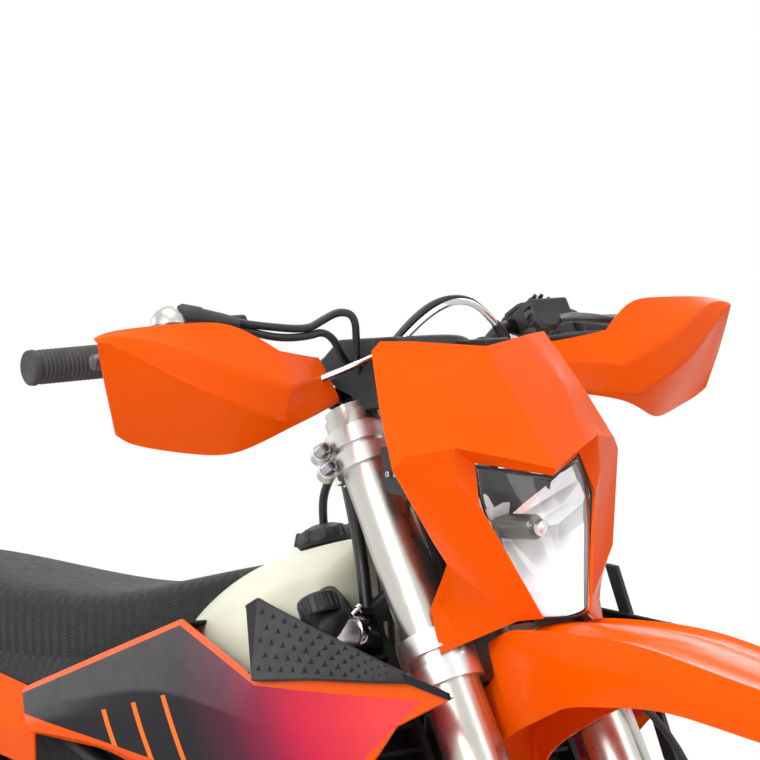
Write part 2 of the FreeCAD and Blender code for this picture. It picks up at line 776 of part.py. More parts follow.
def clamps():
    high_low = s.clamp_high_s - s.clamp_high_h / 2
    high_top = s.clamp_high_s + s.clamp_high_h / 2
    pieces, cuts = clamp(high_low, high_top, s.clamp_ring_high_r, s.fork_top_r, s.clamp_slot_h,
                         HIGH_REAR_SHARE)
    for side in (-1, 1):
        pieces.append(prim("Cylinder", Placement(Vector(0, side * s.bar_mount_half, high_low), Rotation()),
                           Radius=s.bar_mount_w * MOUNT_POST_SHARE,
                           Height=s.clamp_high_h + s.bar_rise - s.bar_mount_r))
        pieces.append(prim("Cylinder", along_y(0, side * s.bar_mount_half - s.bar_mount_w / 2, BAR_S),
                           Radius=s.bar_mount_r, Height=s.bar_mount_w))
    cuts.append(prim("Cylinder", along_y(0, -s.bar_half, BAR_S), Radius=s.bar_thick_r, Height=s.bar_half * 2))
    cuts.append(prim("Cylinder", Placement(Vector(0, 0, high_low - s.overrun), Rotation()),
                     Radius=s.stem_r, Height=s.clamp_high_h + s.overrun * 2))
    keep("top_clamp", cut(fused(*pieces), *cuts), STEER)
    low_low = s.clamp_low_s - s.clamp_low_h / 2
    low_top = s.clamp_low_s + s.clamp_low_h / 2
    pieces, cuts = clamp(low_low, low_top, s.clamp_ring_low_r, s.fork_clamp_r, s.clamp_slot_low_h,
                         LOW_REAR_SHARE)
    stem_top = high_top + s.axle_head_t
    stem = prim("Cylinder", Placement(Vector(0, 0, low_low), Rotation()), Radius=s.stem_r,
                Height=stem_top - low_low)
    head = HEAD_LOW_S + s.head_tube_len
    races = [prim("Cylinder", Placement(Vector(0, 0, HEAD_LOW_S - s.seat_gap), Rotation()),
                  Radius=s.head_bore_r - s.seat_gap, Height=s.stem_race_h),
             prim("Cylinder", Placement(Vector(0, 0, low_top - s.seat_gap), Rotation()), Radius=s.head_bore_r,
                  Height=HEAD_LOW_S - low_top - s.seat_gap),
             prim("Cylinder", Placement(Vector(0, 0, head - s.stem_race_h), Rotation()),
                  Radius=s.head_bore_r - s.seat_gap, Height=s.stem_race_h),
             prim("Cylinder", Placement(Vector(0, 0, head + s.seat_gap), Rotation()), Radius=s.head_bore_r,
                  Height=high_low - head - s.seat_gap * 2)]
    keep("lower_clamp", cut(fused(*(pieces + [stem] + races)), *cuts), STEER)


MOUNT_POST_SHARE = 0.42
HIGH_REAR_SHARE = 0.5
LOW_REAR_SHARE = 0.5
BAR_S = s.clamp_high_s + s.bar_rise
HEAD_LOW_S = HEAD_S + s.head_drop_share * s.head_tube_len - s.head_tube_len


def bar_points():
    """The handlebar's centre line, from the right end to the left."""
    half = [Vector(0, s.bar_straight_half, BAR_S),
            Vector(s.bar_end_back * BAR_KNEE_SHARE, s.bar_knee_half, BAR_S + s.bar_end_rise * BAR_RISE_SHARE),
            Vector(-s.bar_end_back, s.bar_half, BAR_S + s.bar_end_rise)]
    return [Vector(p.x, -p.y, p.z) for p in reversed(half)] + half


BAR_KNEE_SHARE = 0.1
BAR_RISE_SHARE = 0.92


def along(start, stop, share):
    return start + (stop - start) * share


def handlebar():
    points = bar_points()
    bar = rod(points, s.bar_r, s.bar_bend_r)
    thick = Part.makeCylinder(s.bar_thick_r, s.bar_thick_half * 2, Vector(0, -s.bar_thick_half, BAR_S),
                              Vector(0, 1, 0))
    taper = Part.makeCone(s.bar_thick_r, s.bar_r, s.bar_straight_half - s.bar_thick_half,
                          Vector(0, s.bar_thick_half, BAR_S), Vector(0, 1, 0))
    shaped("handlebar", bar.fuse([thick, taper, mirrored(taper)]), STEER)
    end, knee = points[-1], points[-2]
    back = (knee - end).normalize()
    start = end + back * -s.plastic_t
    grip = Part.makeCylinder(s.grip_r, s.grip_len, start, back)
    flange = Part.makeCylinder(s.grip_flange_r, s.grip_flange_t, start + back * s.grip_len, back)
    closed = Part.makeCylinder(s.bar_r, s.grip_len + s.overrun, end, back)
    grips = grip.fuse(flange).cut(closed)
    shaped("grips", pair(grips), STEER)
    pad_low = BAR_S + s.bar_mount_r + s.seat_gap
    pad = Part.makeBox(s.pad_deep, s.pad_half * 2, s.pad_tall, Vector(-s.bar_mount_r, -s.pad_half, pad_low))
    pad = pad.makeFillet(s.pad_round, [e for e in pad.Edges])
    shaped("bar_pad", pad.cut(rod(points, s.bar_r + s.seat_gap, s.bar_bend_r)), STEER)
    return points


def controls(points):
    """The throttle housing and brake master on the right, clutch master and switches on the left."""
    end, knee = points[-1], points[-2]
    back = (knee - end).normalize()
    inner = end + back * (s.grip_len + s.grip_flange_t + s.seat_gap)
    housing = Part.makeCylinder(s.bar_r * 2, s.bar_r * 3, inner, back)
    clamp_at = inner + back * (s.bar_r * MASTER_BACK_SHARE)
    collar = Part.makeCylinder(s.bar_r * COLLAR_SHARE, s.bar_r * 2, clamp_at, back)
    through = at_rest("handlebar")
    reservoir = Part.makeBox(*[s.bar_r * share for share in MASTER_SHARES],
                             clamp_at + Vector(s.bar_r, -s.bar_r * 2, -s.bar_r))
    reservoir = reservoir.makeFillet(s.bar_r / 3, reservoir.Edges)
    lever_start = clamp_at + Vector(*LEVER_ROOT_SHARES) * s.bar_r
    lever = rod([lever_start, fore(*LEVER_KNEE_SHARES), fore(*LEVER_TIP_SHARES)], s.bar_r / 2, s.bar_bend_r)
    ball = Part.makeSphere(s.bar_r * BALL_SHARE, fore(*LEVER_TIP_SHARES))
    left = collar.fuse([reservoir]).cut(through)
    shaped("levers", pair(lever.fuse(ball).cut(reservoir)), STEER)
    dome_r = s.bar_r * COLLAR_SHARE
    dome = Part.makeSphere(dome_r, inner + back * dome_r + Vector(s.bar_r, 0, s.bar_r * DOME_UP_SHARE))
    throttle = mirrored(housing.fuse(dome).cut(through))
    switch = Part.makeBox(*[s.bar_r * share for share in SWITCH_SHARES],
                          inner + Vector(*SWITCH_AT_SHARES) * s.bar_r)
    switch = switch.makeFillet(s.bar_r / 3, switch.Edges)
    shaped("bar_controls", Part.makeCompound([left, mirrored(left), throttle, switch.cut(through)]), STEER)


MASTER_BACK_SHARE = 6.4
MASTER_SHARES = (3, 5, 2.4)
COLLAR_SHARE = 1.5
LEVER_ROOT_SHARES = (3.6, 1, -0.2)
BALL_SHARE = 0.8
DOME_UP_SHARE = 1.3
SWITCH_SHARES = (3, 2.4, 4)
SWITCH_AT_SHARES = (-1.6, -2.4, -2)
LEVER_KNEE_SHARES = (0.413, 1.25, 1.566)
LEVER_TIP_SHARES = (0.28, 1.925, 1.566)


def handguards():
    """The two hand shields: creased moulded panels on arms from the bar."""
    outer = [fore(*share) for share in GUARD_SHARES]
    shield = moulded(outer, ring_numbers(GUARD_FACES), Vector(-s.guard_t, 0, 0))
    arm_end = fore(*GUARD_ARM_SHARES)
    points = bar_points()
    bar_at = along(points[-3], points[-2], GUARD_CLAMP_SHARE)
    ring = Part.makeCylinder(s.bar_r * COLLAR_SHARE, s.bar_r, bar_at, points[-2] - points[-3])
    arm = rod([bar_at + Vector(s.bar_r * GUARD_ROOT_SHARE, 0, 0), arm_end], s.bar_r / 2)
    guard = shield.fuse([arm, ring]).cut(rod(points, s.bar_r, s.bar_bend_r))
    shaped("handguards", pair(guard), STEER)


GUARD_SHARES = (
    (0.66, 2.13, 1.443), (0.773, 1.39, 1.447), (0.707, 1.08, 1.333), (0.747, 0.94, 1.254),
    (0.72, 0.89, 1.048),
    (0.547, 1.11, 1.035), (0.373, 1.35, 0.965), (0.287, 1.925, 1.088), (0.76, 1.725, 1.338),
    (0.687, 1.1, 1.145),
    (0.647, 1.925, 1.325), (0.733, 1.575, 1.145))
GUARD_FACES = "AIK ABI BCJI CDJ DEJ IJLK JEFL FGL GHL HKL HAK"
GUARD_ARM_SHARES = (0.693, 1.31, 1.303)
GUARD_CLAMP_SHARE = 0.62
GUARD_ROOT_SHARE = 1.2


def mask():
    """The headlight mask: a creased shield with a brow over the lamp and two wings beside the fork."""
    half = [fore(*share) for share in MASK_SHARES]
    count = len(half)
    points = half + [Vector(p.x, -p.y, p.z) for p in half]
    rings = ring_numbers(MASK_FACES)
    flipped = []
    for ring in rings:
        flipped.append([i if not half[i].y else i + count for i in reversed(ring)])
    shell = moulded(points, rings + flipped, Vector(-s.plastic_t, 0, 0))
    shaped("headlight_mask", shell, STEER)


MASK_SHARES = (
    (0.973, 0, 1.202), (0.8, 0.57, 1.303), (0.807, 0.75, 0.693), (0.627, 0.515, 0.311),
    (0.447, 0.6, 0.175), (0.413, 0.61, -0.026),
    (0.653, 0.225, 0.018), (1.013, 0.475, 0.732), (0.953, 0.34, 0.671), (0.913, 0.385, 0.487),
    (0.787, 0.16, -0.009), (1.193, 0, 0.548))
MASK_FACES = "ALH AHB BHC HLI CHI CIJ CJD DJK DKG DGE EGF"


def lamp():
    """The headlight: a clear lens ahead of a closed reflector housing, held by a bracket on the fork."""
    rim = [fore(*share) for share in LENS_SHARES]
    rim = rim + [Vector(p.x, -p.y, p.z) for p in reversed(rim[1:])]
    middle = Vector()
    for point in rim:
        middle = middle + point / len(rim)
    inset = [along(point, middle, LENS_INSET_SHARE) for point in rim]
    lens = closed_solid([inset, [p - Vector(s.glass_t, 0, 0) for p in reversed(inset)]]
                        + [[b, a, a - Vector(s.glass_t, 0, 0), b - Vector(s.glass_t, 0, 0)]
                           for a, b in zip(inset, inset[1:] + inset[:1])])
    shaped("headlight_glass", lens, STEER)
    front = [p - Vector(s.glass_t + s.seat_gap, 0, 0) for p in inset]
    rear = [along(p, middle, LAMP_TAPER_SHARE) - Vector(s.lamp_deep, 0, 0) for p in inset]
    housing = closed_solid([front, list(reversed(rear))]
                           + [[b, a, c, d] for a, b, c,
                              d in zip(front, front[1:] + front[:1], rear, rear[1:] + rear[:1])])
    shaped("headlight", housing.fuse(both_sides(lamp_holder())), STEER)


def lamp_holder():
    """The band round a fork tube and the arm from it that carry the lamp."""
    low = s.clamp_low_s + LAMP_BAND_SHARE * CLAMP_SPAN - s.lamp_band_h / 2
    foot = Vector(s.fork_offset, FORK_Y, low)
    radii = [fork_radius(low), fork_radius(low + s.lamp_band_h)]
    band = Part.makeCone(radii[0] + s.plastic_t * 2, radii[1] + s.plastic_t * 2, s.lamp_band_h, foot)
    hole = Part.makeCone(radii[0] + s.seat_gap, radii[1] + s.seat_gap, s.lamp_band_h, foot)
    arm = rod([foot + Vector(radii[0] + s.plastic_t, -s.slider_r / 3, s.lamp_band_h / 4),
               fore(*LAMP_ARM_SHARES)], s.plastic_t * 2)
    return band.fuse(arm).cut(hole)


def fork_radius(up):
    """The outer tube's radius at a height between its two clamps."""
    top = s.clamp_high_s - s.clamp_high_h / 2
    return s.fork_clamp_r + (s.fork_top_r - s.fork_clamp_r) * (up - s.clamp_low_s) / (top - s.clamp_low_s)


LENS_SHARES = ((1.173, 0, 0.531), (0.953, 0.34, 0.671), (0.913, 0.385, 0.487), (0.787, 0.16, -0.009))
LENS_INSET_SHARE = 0.04
LAMP_TAPER_SHARE = 0.35
LAMP_BAND_SHARE = 0.754
LAMP_ARM_SHARES = (0.773, 0.24, 0.592)


def front_fender():
    """The high front fender: a valley down its top, ridges, and creased flanks."""
    rows = []
    for n, top, half, low in FENDER_SHARES:
        row = []
        for out, drop in FENDER_SECTION_SHARES:
            row.append((n, half * out, top + (low - top) * drop))
        full = [fore(a, -b, c) for a, b, c in reversed(row[1:])] + [fore(*p) for p in row]
        rows.append(full)
    middle = [row[len(row) // 2] for row in rows]
    shell = ribbon(rows, under(middle, s.plastic_t))
    top = s.clamp_low_s - s.clamp_low_h / 2 - s.seat_gap
    bosses = []
    for ahead in (-1, 1):
        at = Vector(ahead * s.clamp_web_w / 4, s.bar_mount_half * BOSS_OUT_SHARE, top - s.clamp_bolt_r * 3)
        bosses += both_sides(Part.makeCylinder(s.clamp_bolt_r, s.clamp_bolt_r * 3, at))
    shaped("front_fender", shell.fuse(bosses), STEER)


FENDER_SHARES = (
    (-0.347, -0.671, 0.2, -0.724), (-0.32, -0.373, 0.25, -0.482), (-0.167, -0.189, 0.26, -0.395),
    (0.4, -0.14, 0.27, -0.395), (0.867, -0.11, 0.31, -0.425),
    (1.267, -0.206, 0.31, -0.535), (1.667, -0.368, 0.31, -0.654), (2.067, -0.592, 0.3, -0.855),
    (2.72, -0.939, 0.28, -1.184), (3.433, -1.281, 0.24, -1.408),
    (3.893, -1.504, 0.14, -1.566))
BOSS_OUT_SHARE = 0.6
FENDER_SECTION_SHARES = ((0, 0), (0.5, 0.1), (0.88, 0.04), (0.96, 0.55), (1, 1))


def caliper_block(size, shares, middle):
    """A rounded block about its middle, its three sides in shares of the caliper's size."""
    sides = Vector(*shares) * size
    block = Part.makeBox(*sides, middle - sides / 2)
    return block.makeFillet(size * CALIPER_ROUND_SHARE, block.Edges)


def front_brake():
    """The front caliper behind the left leg, its bracket slotted around the disc."""
    reach = Vector(AXLE_N, 0, AXLE_S)
    place = reach + Vector(-s.front_disc_r * CALIPER_BACK_SHARE, s.front_disc_y,
                           s.front_disc_r * CALIPER_UP_SHARE)
    size = s.front_disc_r * CALIPER_SHARE
    body = caliper_block(size, CALIPER_BODY_SHARES, place)
    slot = Part.makeCylinder(s.front_disc_r + s.disc_t, s.disc_t * DISC_SLOT_SHARE,
                             reach + Vector(0, s.front_disc_y - s.disc_t * DISC_SLOT_SHARE / 2, 0),
                             Vector(0, 1, 0))
    tab = Part.makeBox(size * TAB_SHARE, s.disc_t * 2, size / 2,
                       place + Vector(0, size * CALIPER_BODY_SHARES[1] / 2 - s.disc_t * 2, -size / 4))
    arm = rod([place + Vector(0, size * CALIPER_ARM_SHARE, 0), Vector(s.fork_offset, FORK_Y, place.z)],
              s.disc_t * 2)
    shape = body.fuse([tab, arm]).cut(slot)
    slider = Part.makeCylinder(s.slider_r + s.seat_gap, s.wheelbase, Vector(s.fork_offset, FORK_Y, 0))
    shaped("front_caliper", shape.cut(slider), STEER)


CALIPER_BACK_SHARE = 0.72
CALIPER_UP_SHARE = 0.62
CALIPER_SHARE = 0.5
CALIPER_ARM_SHARE = 0.15
CALIPER_BODY_SHARES = (1, 0.46, 1.5)
CALIPER_ROUND_SHARE = 0.125
DISC_SLOT_SHARE = 2.5
TAB_SHARE = 0.8


def hoses():
    """The brake hose, throttle cables and clutch hose, each held along its whole route."""
    brake = rod([fore(*share) for share in BRAKE_HOSE_SHARES], s.brake_hose_r, s.bar_bend_r)
    throttle = rod([fore(*share) for share in THROTTLE_SHARES], s.cable_r, s.bar_bend_r)
    second = throttle.translated(Vector(*CABLE_STEP_SHARES) * s.cable_r)
    clutch = rod([fore(*share) for share in CLUTCH_HOSE_SHARES], s.brake_hose_r, s.bar_bend_r)
    brake, clutch = [
        max(hose.cut([at_rest(label) for label in ("bar_controls", "levers", "front_caliper")]).Solids,
            key=lambda piece: piece.Volume)
        for hose in (brake, clutch)]
    shaped("hoses", Part.makeCompound([brake, throttle, second, clutch]), STEER)


CABLE_STEP_SHARES = (1.5, 0, 2.6)
BRAKE_HOSE_SHARES = (
    (0.187, -1.12, 1.539), (0.44, -1.07, 1.531), (0.487, -0.75, 1.329), (0.64, -0.45, 1.346),
    (0.613, -0.1, 1.364), (0.56, 0.1, 1.206), (0.453, 0.1, 0.461),
    (0.413, 0.335, 0.132), (0.427, 0.36, -0.241), (0.467, 0.65, -0.548), (0.467, 0.66, -1.382),
    (-0.053, 0.64, -1.996), (-0.28, 0.43, -2.206),
    (-0.267, 0.26, -2.39))
THROTTLE_SHARES = (
    (0.333, -1.25, 1.697), (0.413, -0.85, 1.583), (0.56, -0.53, 1.583), (0.56, -0.42, 1.083),
    (0.493, -0.15, 0.811))
CLUTCH_HOSE_SHARES = (
    (0.187, 1.03, 1.539), (0.333, 0.96, 1.557), (0.367, 0.7, 1.618), (0.44, 0.3, 1.654),
    (0.52, 0.1, 1.627), (0.533, -0.05, 1.382), (0.333, 0.15, 0.811))


def steering():
    forks()
    clamps()
    points = handlebar()
    controls(points)
    handguards()
    mask()
    lamp()
    front_fender()
    front_brake()
    hoses()


# Chassis: all in the upright bike

def at_rest(label):
    """A finished sub-part as it lies in the upright bike, for its neighbours to be cut to."""
    shape = nodes[label].Shape.copy()
    shape.Placement = Placement()
    return shape


def head_axis(up):
    return Vector(AXIS_FOOT_X - up * sin(s.rake_angle), 0, up * cos(s.rake_angle))


def head_tube():
    """The head tube, open for the stem and its races."""
    place = Placement(head_axis(HEAD_LOW_S), Rotation(Vector(0, 1, 0), -s.rake_angle))
    tube = Part.makeCylinder(s.head_tube_r, s.head_tube_len)
    tube = tube.cut(Part.makeCylinder(s.head_bore_r, s.head_tube_len * 2, Vector(0, 0, -s.overrun)))
    tube.Placement = place
    return tube


def head_core(extra=0):
    place = Placement(head_axis(HEAD_LOW_S - s.overrun), Rotation(Vector(0, 1, 0), -s.rake_angle))
    core = Part.makeCylinder(s.head_bore_r + extra, s.head_tube_len + s.overrun * 2)
    core.Placement = place
    return core


SPAR_SHARES = ((0.988, 0.1, 0.999), (0.8, 0.26, 0.872), (0.42, 0.5, 0.639), (0.09, 0.48, 0.338),
               (0, 0.56, 0.122), (0, 0.56, -0.015))
DOWN_SHARES = ((1.004, 0, 0.964), (0.884, 0, 0.555), (0.828, 0, 0.272))
CRADLE_SHARES = ((0.832, 0.07, 0.297), (0.788, 0.3, 0.055), (0.692, 0.42, -0.073), (0.22, 0.55, -0.073),
                 (0, 0.56, -0.025))
CROSS_SHARES = ((0.072, 0.48, 0.308), (0, 0.55, 0.128), (0.652, 0.42, -0.073), (0.26, 0.53, -0.073))


def places(shares):
    return [bay(*share) for share in shares]


def mirror_y(point):
    return Vector(point.x, -point.y, point.z)


def both_sides(shape):
    return [shape, mirrored(shape)]


def frame_tubes(extra=0):
    """The frame's tubes as one list, grown by extra for what must clear them."""
    tubes = both_sides(rod(places(SPAR_SHARES), s.spar_r + extra, s.frame_bend_r))
    tubes += both_sides(rod(places(CRADLE_SHARES), s.cradle_r + extra, s.frame_bend_r))
    tubes.append(rod(places(DOWN_SHARES), s.down_tube_r + extra, s.frame_bend_r))
    for start in places(CROSS_SHARES):
        tubes.append(rod([start, Vector(start.x, -start.y, start.z)], s.rail_r + extra))
    low, top = places(SHOCK_HORN_SHARES)
    spread = Vector(0, s.spring_r + s.rail_r - s.plastic_t, 0)
    for side in (-1, 1):
        tubes.append(rod([low + spread * side, top + spread * side], s.rail_r / 2 + extra))
    tubes.append(rod([top - spread, top + spread], s.rail_r / 2 + extra))
    return tubes


SHOCK_HORN_SHARES = ((0.072, -0.08, 0.308), (0.064, -0.08, 0.488))


def frame():
    """The cradle frame: head tube, spars, down tube, cradle, pivot plates and stand bracket."""
    inner = SPAR_SHARES[-1][1] * s.body_half_w
    plate = Part.makeBox(s.pivot_r * PLATE_W_SHARE, s.pivot_plate_t, s.pivot_r * PLATE_H_SHARE,
                         Vector(PIVOT_X - s.pivot_r * PLATE_W_SHARE / 2, inner - s.pivot_plate_t / 2,
                                s.pivot_height - s.pivot_r * PLATE_DROP_SHARE))
    peg_arm = rod([bay(*PEG_ROOT_SHARES), bay(*PEG_INNER_SHARES)], s.rail_r)
    pieces = [head_tube()] + frame_tubes() + both_sides(plate) + both_sides(peg_arm)
    boss = Part.makeCylinder(s.stand_boss_r, s.stand_boss_t, stand_pivot() - STAND_AXIS * s.stand_boss_t,
                             STAND_AXIS)
    tongue = rod([stand_pivot() - STAND_AXIS * (s.stand_boss_t / 2), bay(*STAND_ROOT_SHARES)], s.rail_r)
    pieces += [boss, tongue.cut(Part.makeCylinder(s.stand_foot_r, s.stand_foot_r, stand_pivot(), STAND_AXIS))]
    joined = pieces[0].fuse(pieces[1:])
    bolt = Part.makeCylinder(s.pivot_r, s.wheelbase, Vector(PIVOT_X, -s.wheelbase / 2, s.pivot_height),
                             Vector(0, 1, 0))
    joined = joined.cut(bolt).cut(head_core())
    pin = Part.makeCylinder(s.stand_r / 2 + s.running_gap, s.stand_boss_t * 4,
                            stand_pivot() - STAND_AXIS * (s.stand_boss_t * 2), STAND_AXIS)
    shaped("frame", joined.cut(pin))


PLATE_W_SHARE = 3.4
PLATE_H_SHARE = 8
PLATE_DROP_SHARE = 2.4
PEG_ROOT_SHARES = (-0.02, 0.56, -0.025)
PEG_INNER_SHARES = (-0.048, 0.68, -0.008)
STAND_ROOT_SHARES = (0.064, 0.555, -0.048)


def stand_pivot():
    return bay(*STAND_PIVOT_SHARES)


STAND_PIVOT_SHARES = (0.076, 0.63, -0.092)
STAND_AXIS_SHARES = (-0.2, 1, 0.24)
STAND_AXIS = Vector(*STAND_AXIS_SHARES).normalize()

RAIL_SHARES = ((0.176, 0.47, 0.559), (-0.36, 0.37, 0.719), (-0.98, 0.26, 0.809))
STRUT_SHARES = ((0.024, 0.54, 0.182), (-0.36, 0.42, 0.522), (-0.58, 0.35, 0.725))


def subframe_tubes(extra=0):
    tubes = both_sides(rod(places(RAIL_SHARES), s.rail_r + extra, s.frame_bend_r))
    tubes += both_sides(rod(places(STRUT_SHARES), s.rail_r + extra, s.frame_bend_r))
    for share in (RAIL_SHARES[2], RAIL_SHARES[1]):
        start = bay(*share)
        tubes.append(rod([start, Vector(start.x, -start.y, start.z)], s.rail_r + extra))
    return tubes


def subframe():
    joined = subframe_tubes()
    shape = joined[0].fuse(joined[1:])
    shaped("subframe", shape.cut(frame_tubes(s.seat_gap)))


CASE_SHARES = (
    (0.08, -0.025), (0.076, 0.105), (0.172, 0.23), (0.536, 0.235), (0.652, 0.132), (0.676, 0.022),
    (0.6, -0.042), (0.16, -0.043))
CYLINDER_SHARES = ((0.332, 0.222), (0.292, 0.488), (0.296, 0.559), (0.344, 0.609), (0.472, 0.602),
                   (0.568, 0.569), (0.584, 0.498), (0.552, 0.222))


def outline(shares, y):
    return [Vector(bay(a, 0, b).x, y, bay(a, 0, b).z) for a, b in shares]


def slab(shares, half):
    """A block between both sides of the bike from a side outline."""
    return polygon(outline(shares, -half)).extrude(Vector(0, half * 2, 0))


def outline_edges(block):
    """The edges that lie in a slab's two side faces."""
    return [edge for edge in block.Edges if abs(edge.Vertexes[0].Y - edge.Vertexes[-1].Y) < s.seat_gap]


def engine():
    """The engine as a block with its open look: case, cylinder with fins, head, ports."""
    case = slab(CASE_SHARES, s.engine_half_w * CASE_SHARE)
    case = case.makeFillet(s.cradle_r, outline_edges(case))
    barrel = slab(CYLINDER_SHARES, s.cylinder_w / 2)
    barrel = barrel.makeFillet(s.cradle_r / 2, outline_edges(barrel))
    grooves = []
    for i in range(int(s.fin_count)):
        up = bay(0, 0, FIN_LOW_SHARE + i * FIN_STEP_SHARE).z
        outer = Part.makeBox(s.wheelbase, s.wheelbase, s.louvre_t,
                             Vector(-s.wheelbase / 2, -s.wheelbase / 2, up))
        grooves.append(outer)
    core = slab(CYLINDER_SHARES, s.cylinder_w / 2 - s.louvre_t)
    band = grooves[0].fuse(grooves[1:]).cut(core)
    block = case.fuse(barrel.cut(band))
    port = bay(*EXHAUST_PORT_SHARES) - Vector(s.header_r, 0, 0)
    block = block.fuse(Part.makeCylinder(s.header_r * PORT_SHARE, s.header_r * 2, port, Vector(1, 0, 0)))
    block = block.cut(rod(places(HEADER_SHARES), s.header_r, s.header_bend_r))
    block = block.cut(frame_tubes(s.seat_gap))
    shaped("engine", block)
    left = s.engine_half_w * CASE_SHARE
    covers = []
    for share, radius, side in ((CLUTCH_SHARES, s.front_disc_r * CLUTCH_R_SHARE, -1),
                                (STATOR_SHARES, s.front_disc_r * STATOR_R_SHARE, 1),
                                (WATER_PUMP_SHARES, s.front_disc_r * PUMP_R_SHARE, -1)):
        middle = bay(*share)
        start = Vector(middle.x, side * left, middle.z)
        deep = s.engine_cover_t * COVER_RIM_SHARE
        disc = Part.makeCylinder(radius, deep, start, Vector(0, side, 0))
        cap = Part.makeCone(radius, radius * COVER_TOP_SHARE, s.engine_cover_t - deep,
                            start + Vector(0, side * deep, 0), Vector(0, side, 0))
        covers.append(disc.fuse(cap))
    right = covers[0].fuse(covers[2])
    shaped("engine_covers", Part.makeCompound([right, covers[1]]))


CASE_SHARE = 0.68
PORT_SHARE = 1.4
COVER_RIM_SHARE = 0.6
COVER_TOP_SHARE = 0.82
FIN_LOW_SHARE = 0.272
FIN_STEP_SHARE = 0.045
EXHAUST_PORT_SHARES = (0.568, -0.13, 0.472)
CLUTCH_SHARES = (0.232, 0, 0.082)
STATOR_SHARES = (0.448, 0, 0.075)
WATER_PUMP_SHARES = (0.432, 0, 0.055)
CLUTCH_R_SHARE = 0.55
STATOR_R_SHARE = 0.48
PUMP_R_SHARE = 0.36

HEADER_SHARES = (
    (0.556, -0.13, 0.472), (0.712, -0.15, 0.455), (0.744, -0.52, 0.372), (0.56, -0.69, 0.308),
    (0.06, -0.69, 0.315), (-0.224, -0.65, 0.388))
SILENCER_SHARES = ((-0.204, -0.65, 0.382), (-0.264, -0.655, 0.405), (-1.02, -0.71, 0.592))


def exhaust():
    """The header from the port round to the right side, and the silencer it feeds."""
    header = rod(places(HEADER_SHARES), s.header_r, s.header_bend_r)
    start, neck, end = places(SILENCER_SHARES)
    run = (end - neck).normalize()
    can = Part.makeCylinder(s.silencer_r, (end - neck).Length, neck, run)
    cone = Part.makeCone(s.header_r, s.silencer_r, (neck - start).Length,
                         neck - run * (neck - start).Length, run)
    tip = Part.makeCone(s.silencer_r, s.silencer_r * TIP_SHARE, s.silencer_r / 2, end, run)
    bore = Part.makeCylinder(s.header_r, s.silencer_r, end + run * (s.silencer_r / 4), run)
    hung = along(bay(*RAIL_SHARES[1]), bay(*RAIL_SHARES[2]), STRAP_RAIL_SHARE)
    strap = rod([along(neck, end, STRAP_SHARE), Vector(hung.x, -hung.y, hung.z)], s.rail_r / 2)
    muffler = can.fuse([cone, tip, strap]).cut(bore).cut(subframe_tubes(s.seat_gap))
    shaped("silencer", muffler.cut(header))
    shaped("exhaust_header", header)


TIP_SHARE = 0.7
STRAP_SHARE = 0.55
STRAP_RAIL_SHARE = 0.3

TANK_SHARES = (
    (0.208, 0.3, 0.655, 0.822, 0.909), (0.36, 0.46, 0.655, 0.789, 0.962),
    (0.5, 0.56, 0.665, 0.789, 1.005), (0.64, 0.58, 0.699, 0.805, 1.039),
    (0.75, 0.5, 0.739, 0.822, 1.055), (0.804, 0.3, 0.789, 0.855, 1.045))
TANK_SECTION_SHARES = (
    (0, 1), (0.42, 0.97), (0.78, 0.86), (1, 0.56), (0.98, 0.26), (0.86, 0), (0.44, 0))


def fuel_tank():
    """The tank: crowned on top, tunnelled below over the frame, with its filler neck."""
    sections = []
    for x, half, low, tunnel, top in TANK_SHARES:
        row = [bay(x, half * out, low + (top - low) * up) for out, up in TANK_SECTION_SHARES]
        row.append(bay(x, half * TUNNEL_SHARE, tunnel))
        sections.append(row + [Vector(p.x, -p.y, p.z) for p in reversed(row[1:])])
    shape = skinned(sections)
    coolers = both_sides(radiator_block(s.plastic_t, s.radiator_t, -s.radiator_t / 2))
    shape = shape.cut(frame_tubes(s.seat_gap * 4) + coolers)
    shape = shape.cut(head_core(s.head_tube_r - s.head_bore_r + s.seat_gap * 4))
    solid = max(shape.Solids, key=lambda piece: piece.Volume)
    cap_at = bay(*CAP_SHARES)
    axis = Vector(CAP_TILT_SHARE, 0, 1).normalize()
    deep = s.cap_h * NECK_DEEP_SHARE
    neck = Part.makeCylinder(s.cap_r * NECK_SHARE, deep, cap_at - axis * deep, axis)
    solid = solid.fuse(neck)
    shaped("fuel_tank", solid)
    rim = s.cap_h * CAP_RIM_SHARE
    cap = Part.makeCylinder(s.cap_r, rim, cap_at, axis)
    crown = Part.makeCone(s.cap_r, s.cap_r * CAP_CROWN_SHARE, s.cap_h - rim, cap_at + axis * rim, axis)
    vent = rod([cap_at + axis * s.cap_h, cap_at + axis * deep], s.cable_r)
    shaped("tank_cap", cap.fuse([crown, vent]).cut(solid))


NECK_SHARE = 0.8
NECK_DEEP_SHARE = 1.5
CAP_RIM_SHARE = 0.75
CAP_CROWN_SHARE = 0.86
TUNNEL_SHARE = 0.36
CAP_SHARES = (0.58, 0, 1.039)
CAP_TILT_SHARE = -0.24

SEAT_SHARES = (
    (0.492, 0.22, 0.929, 0.982), (0.4, 0.31, 0.872, 0.969), (0.22, 0.39, 0.83, 0.942),
    (-0.02, 0.43, 0.789, 0.932), (-0.3, 0.46, 0.789, 0.945),
    (-0.54, 0.47, 0.805, 0.969), (-0.78, 0.43, 0.839, 0.989), (-0.88, 0.33, 0.872, 0.989))
SEAT_SECTION_SHARES = ((0, 1), (0.55, 0.985), (0.84, 0.86), (0.98, 0.5), (1, 0))


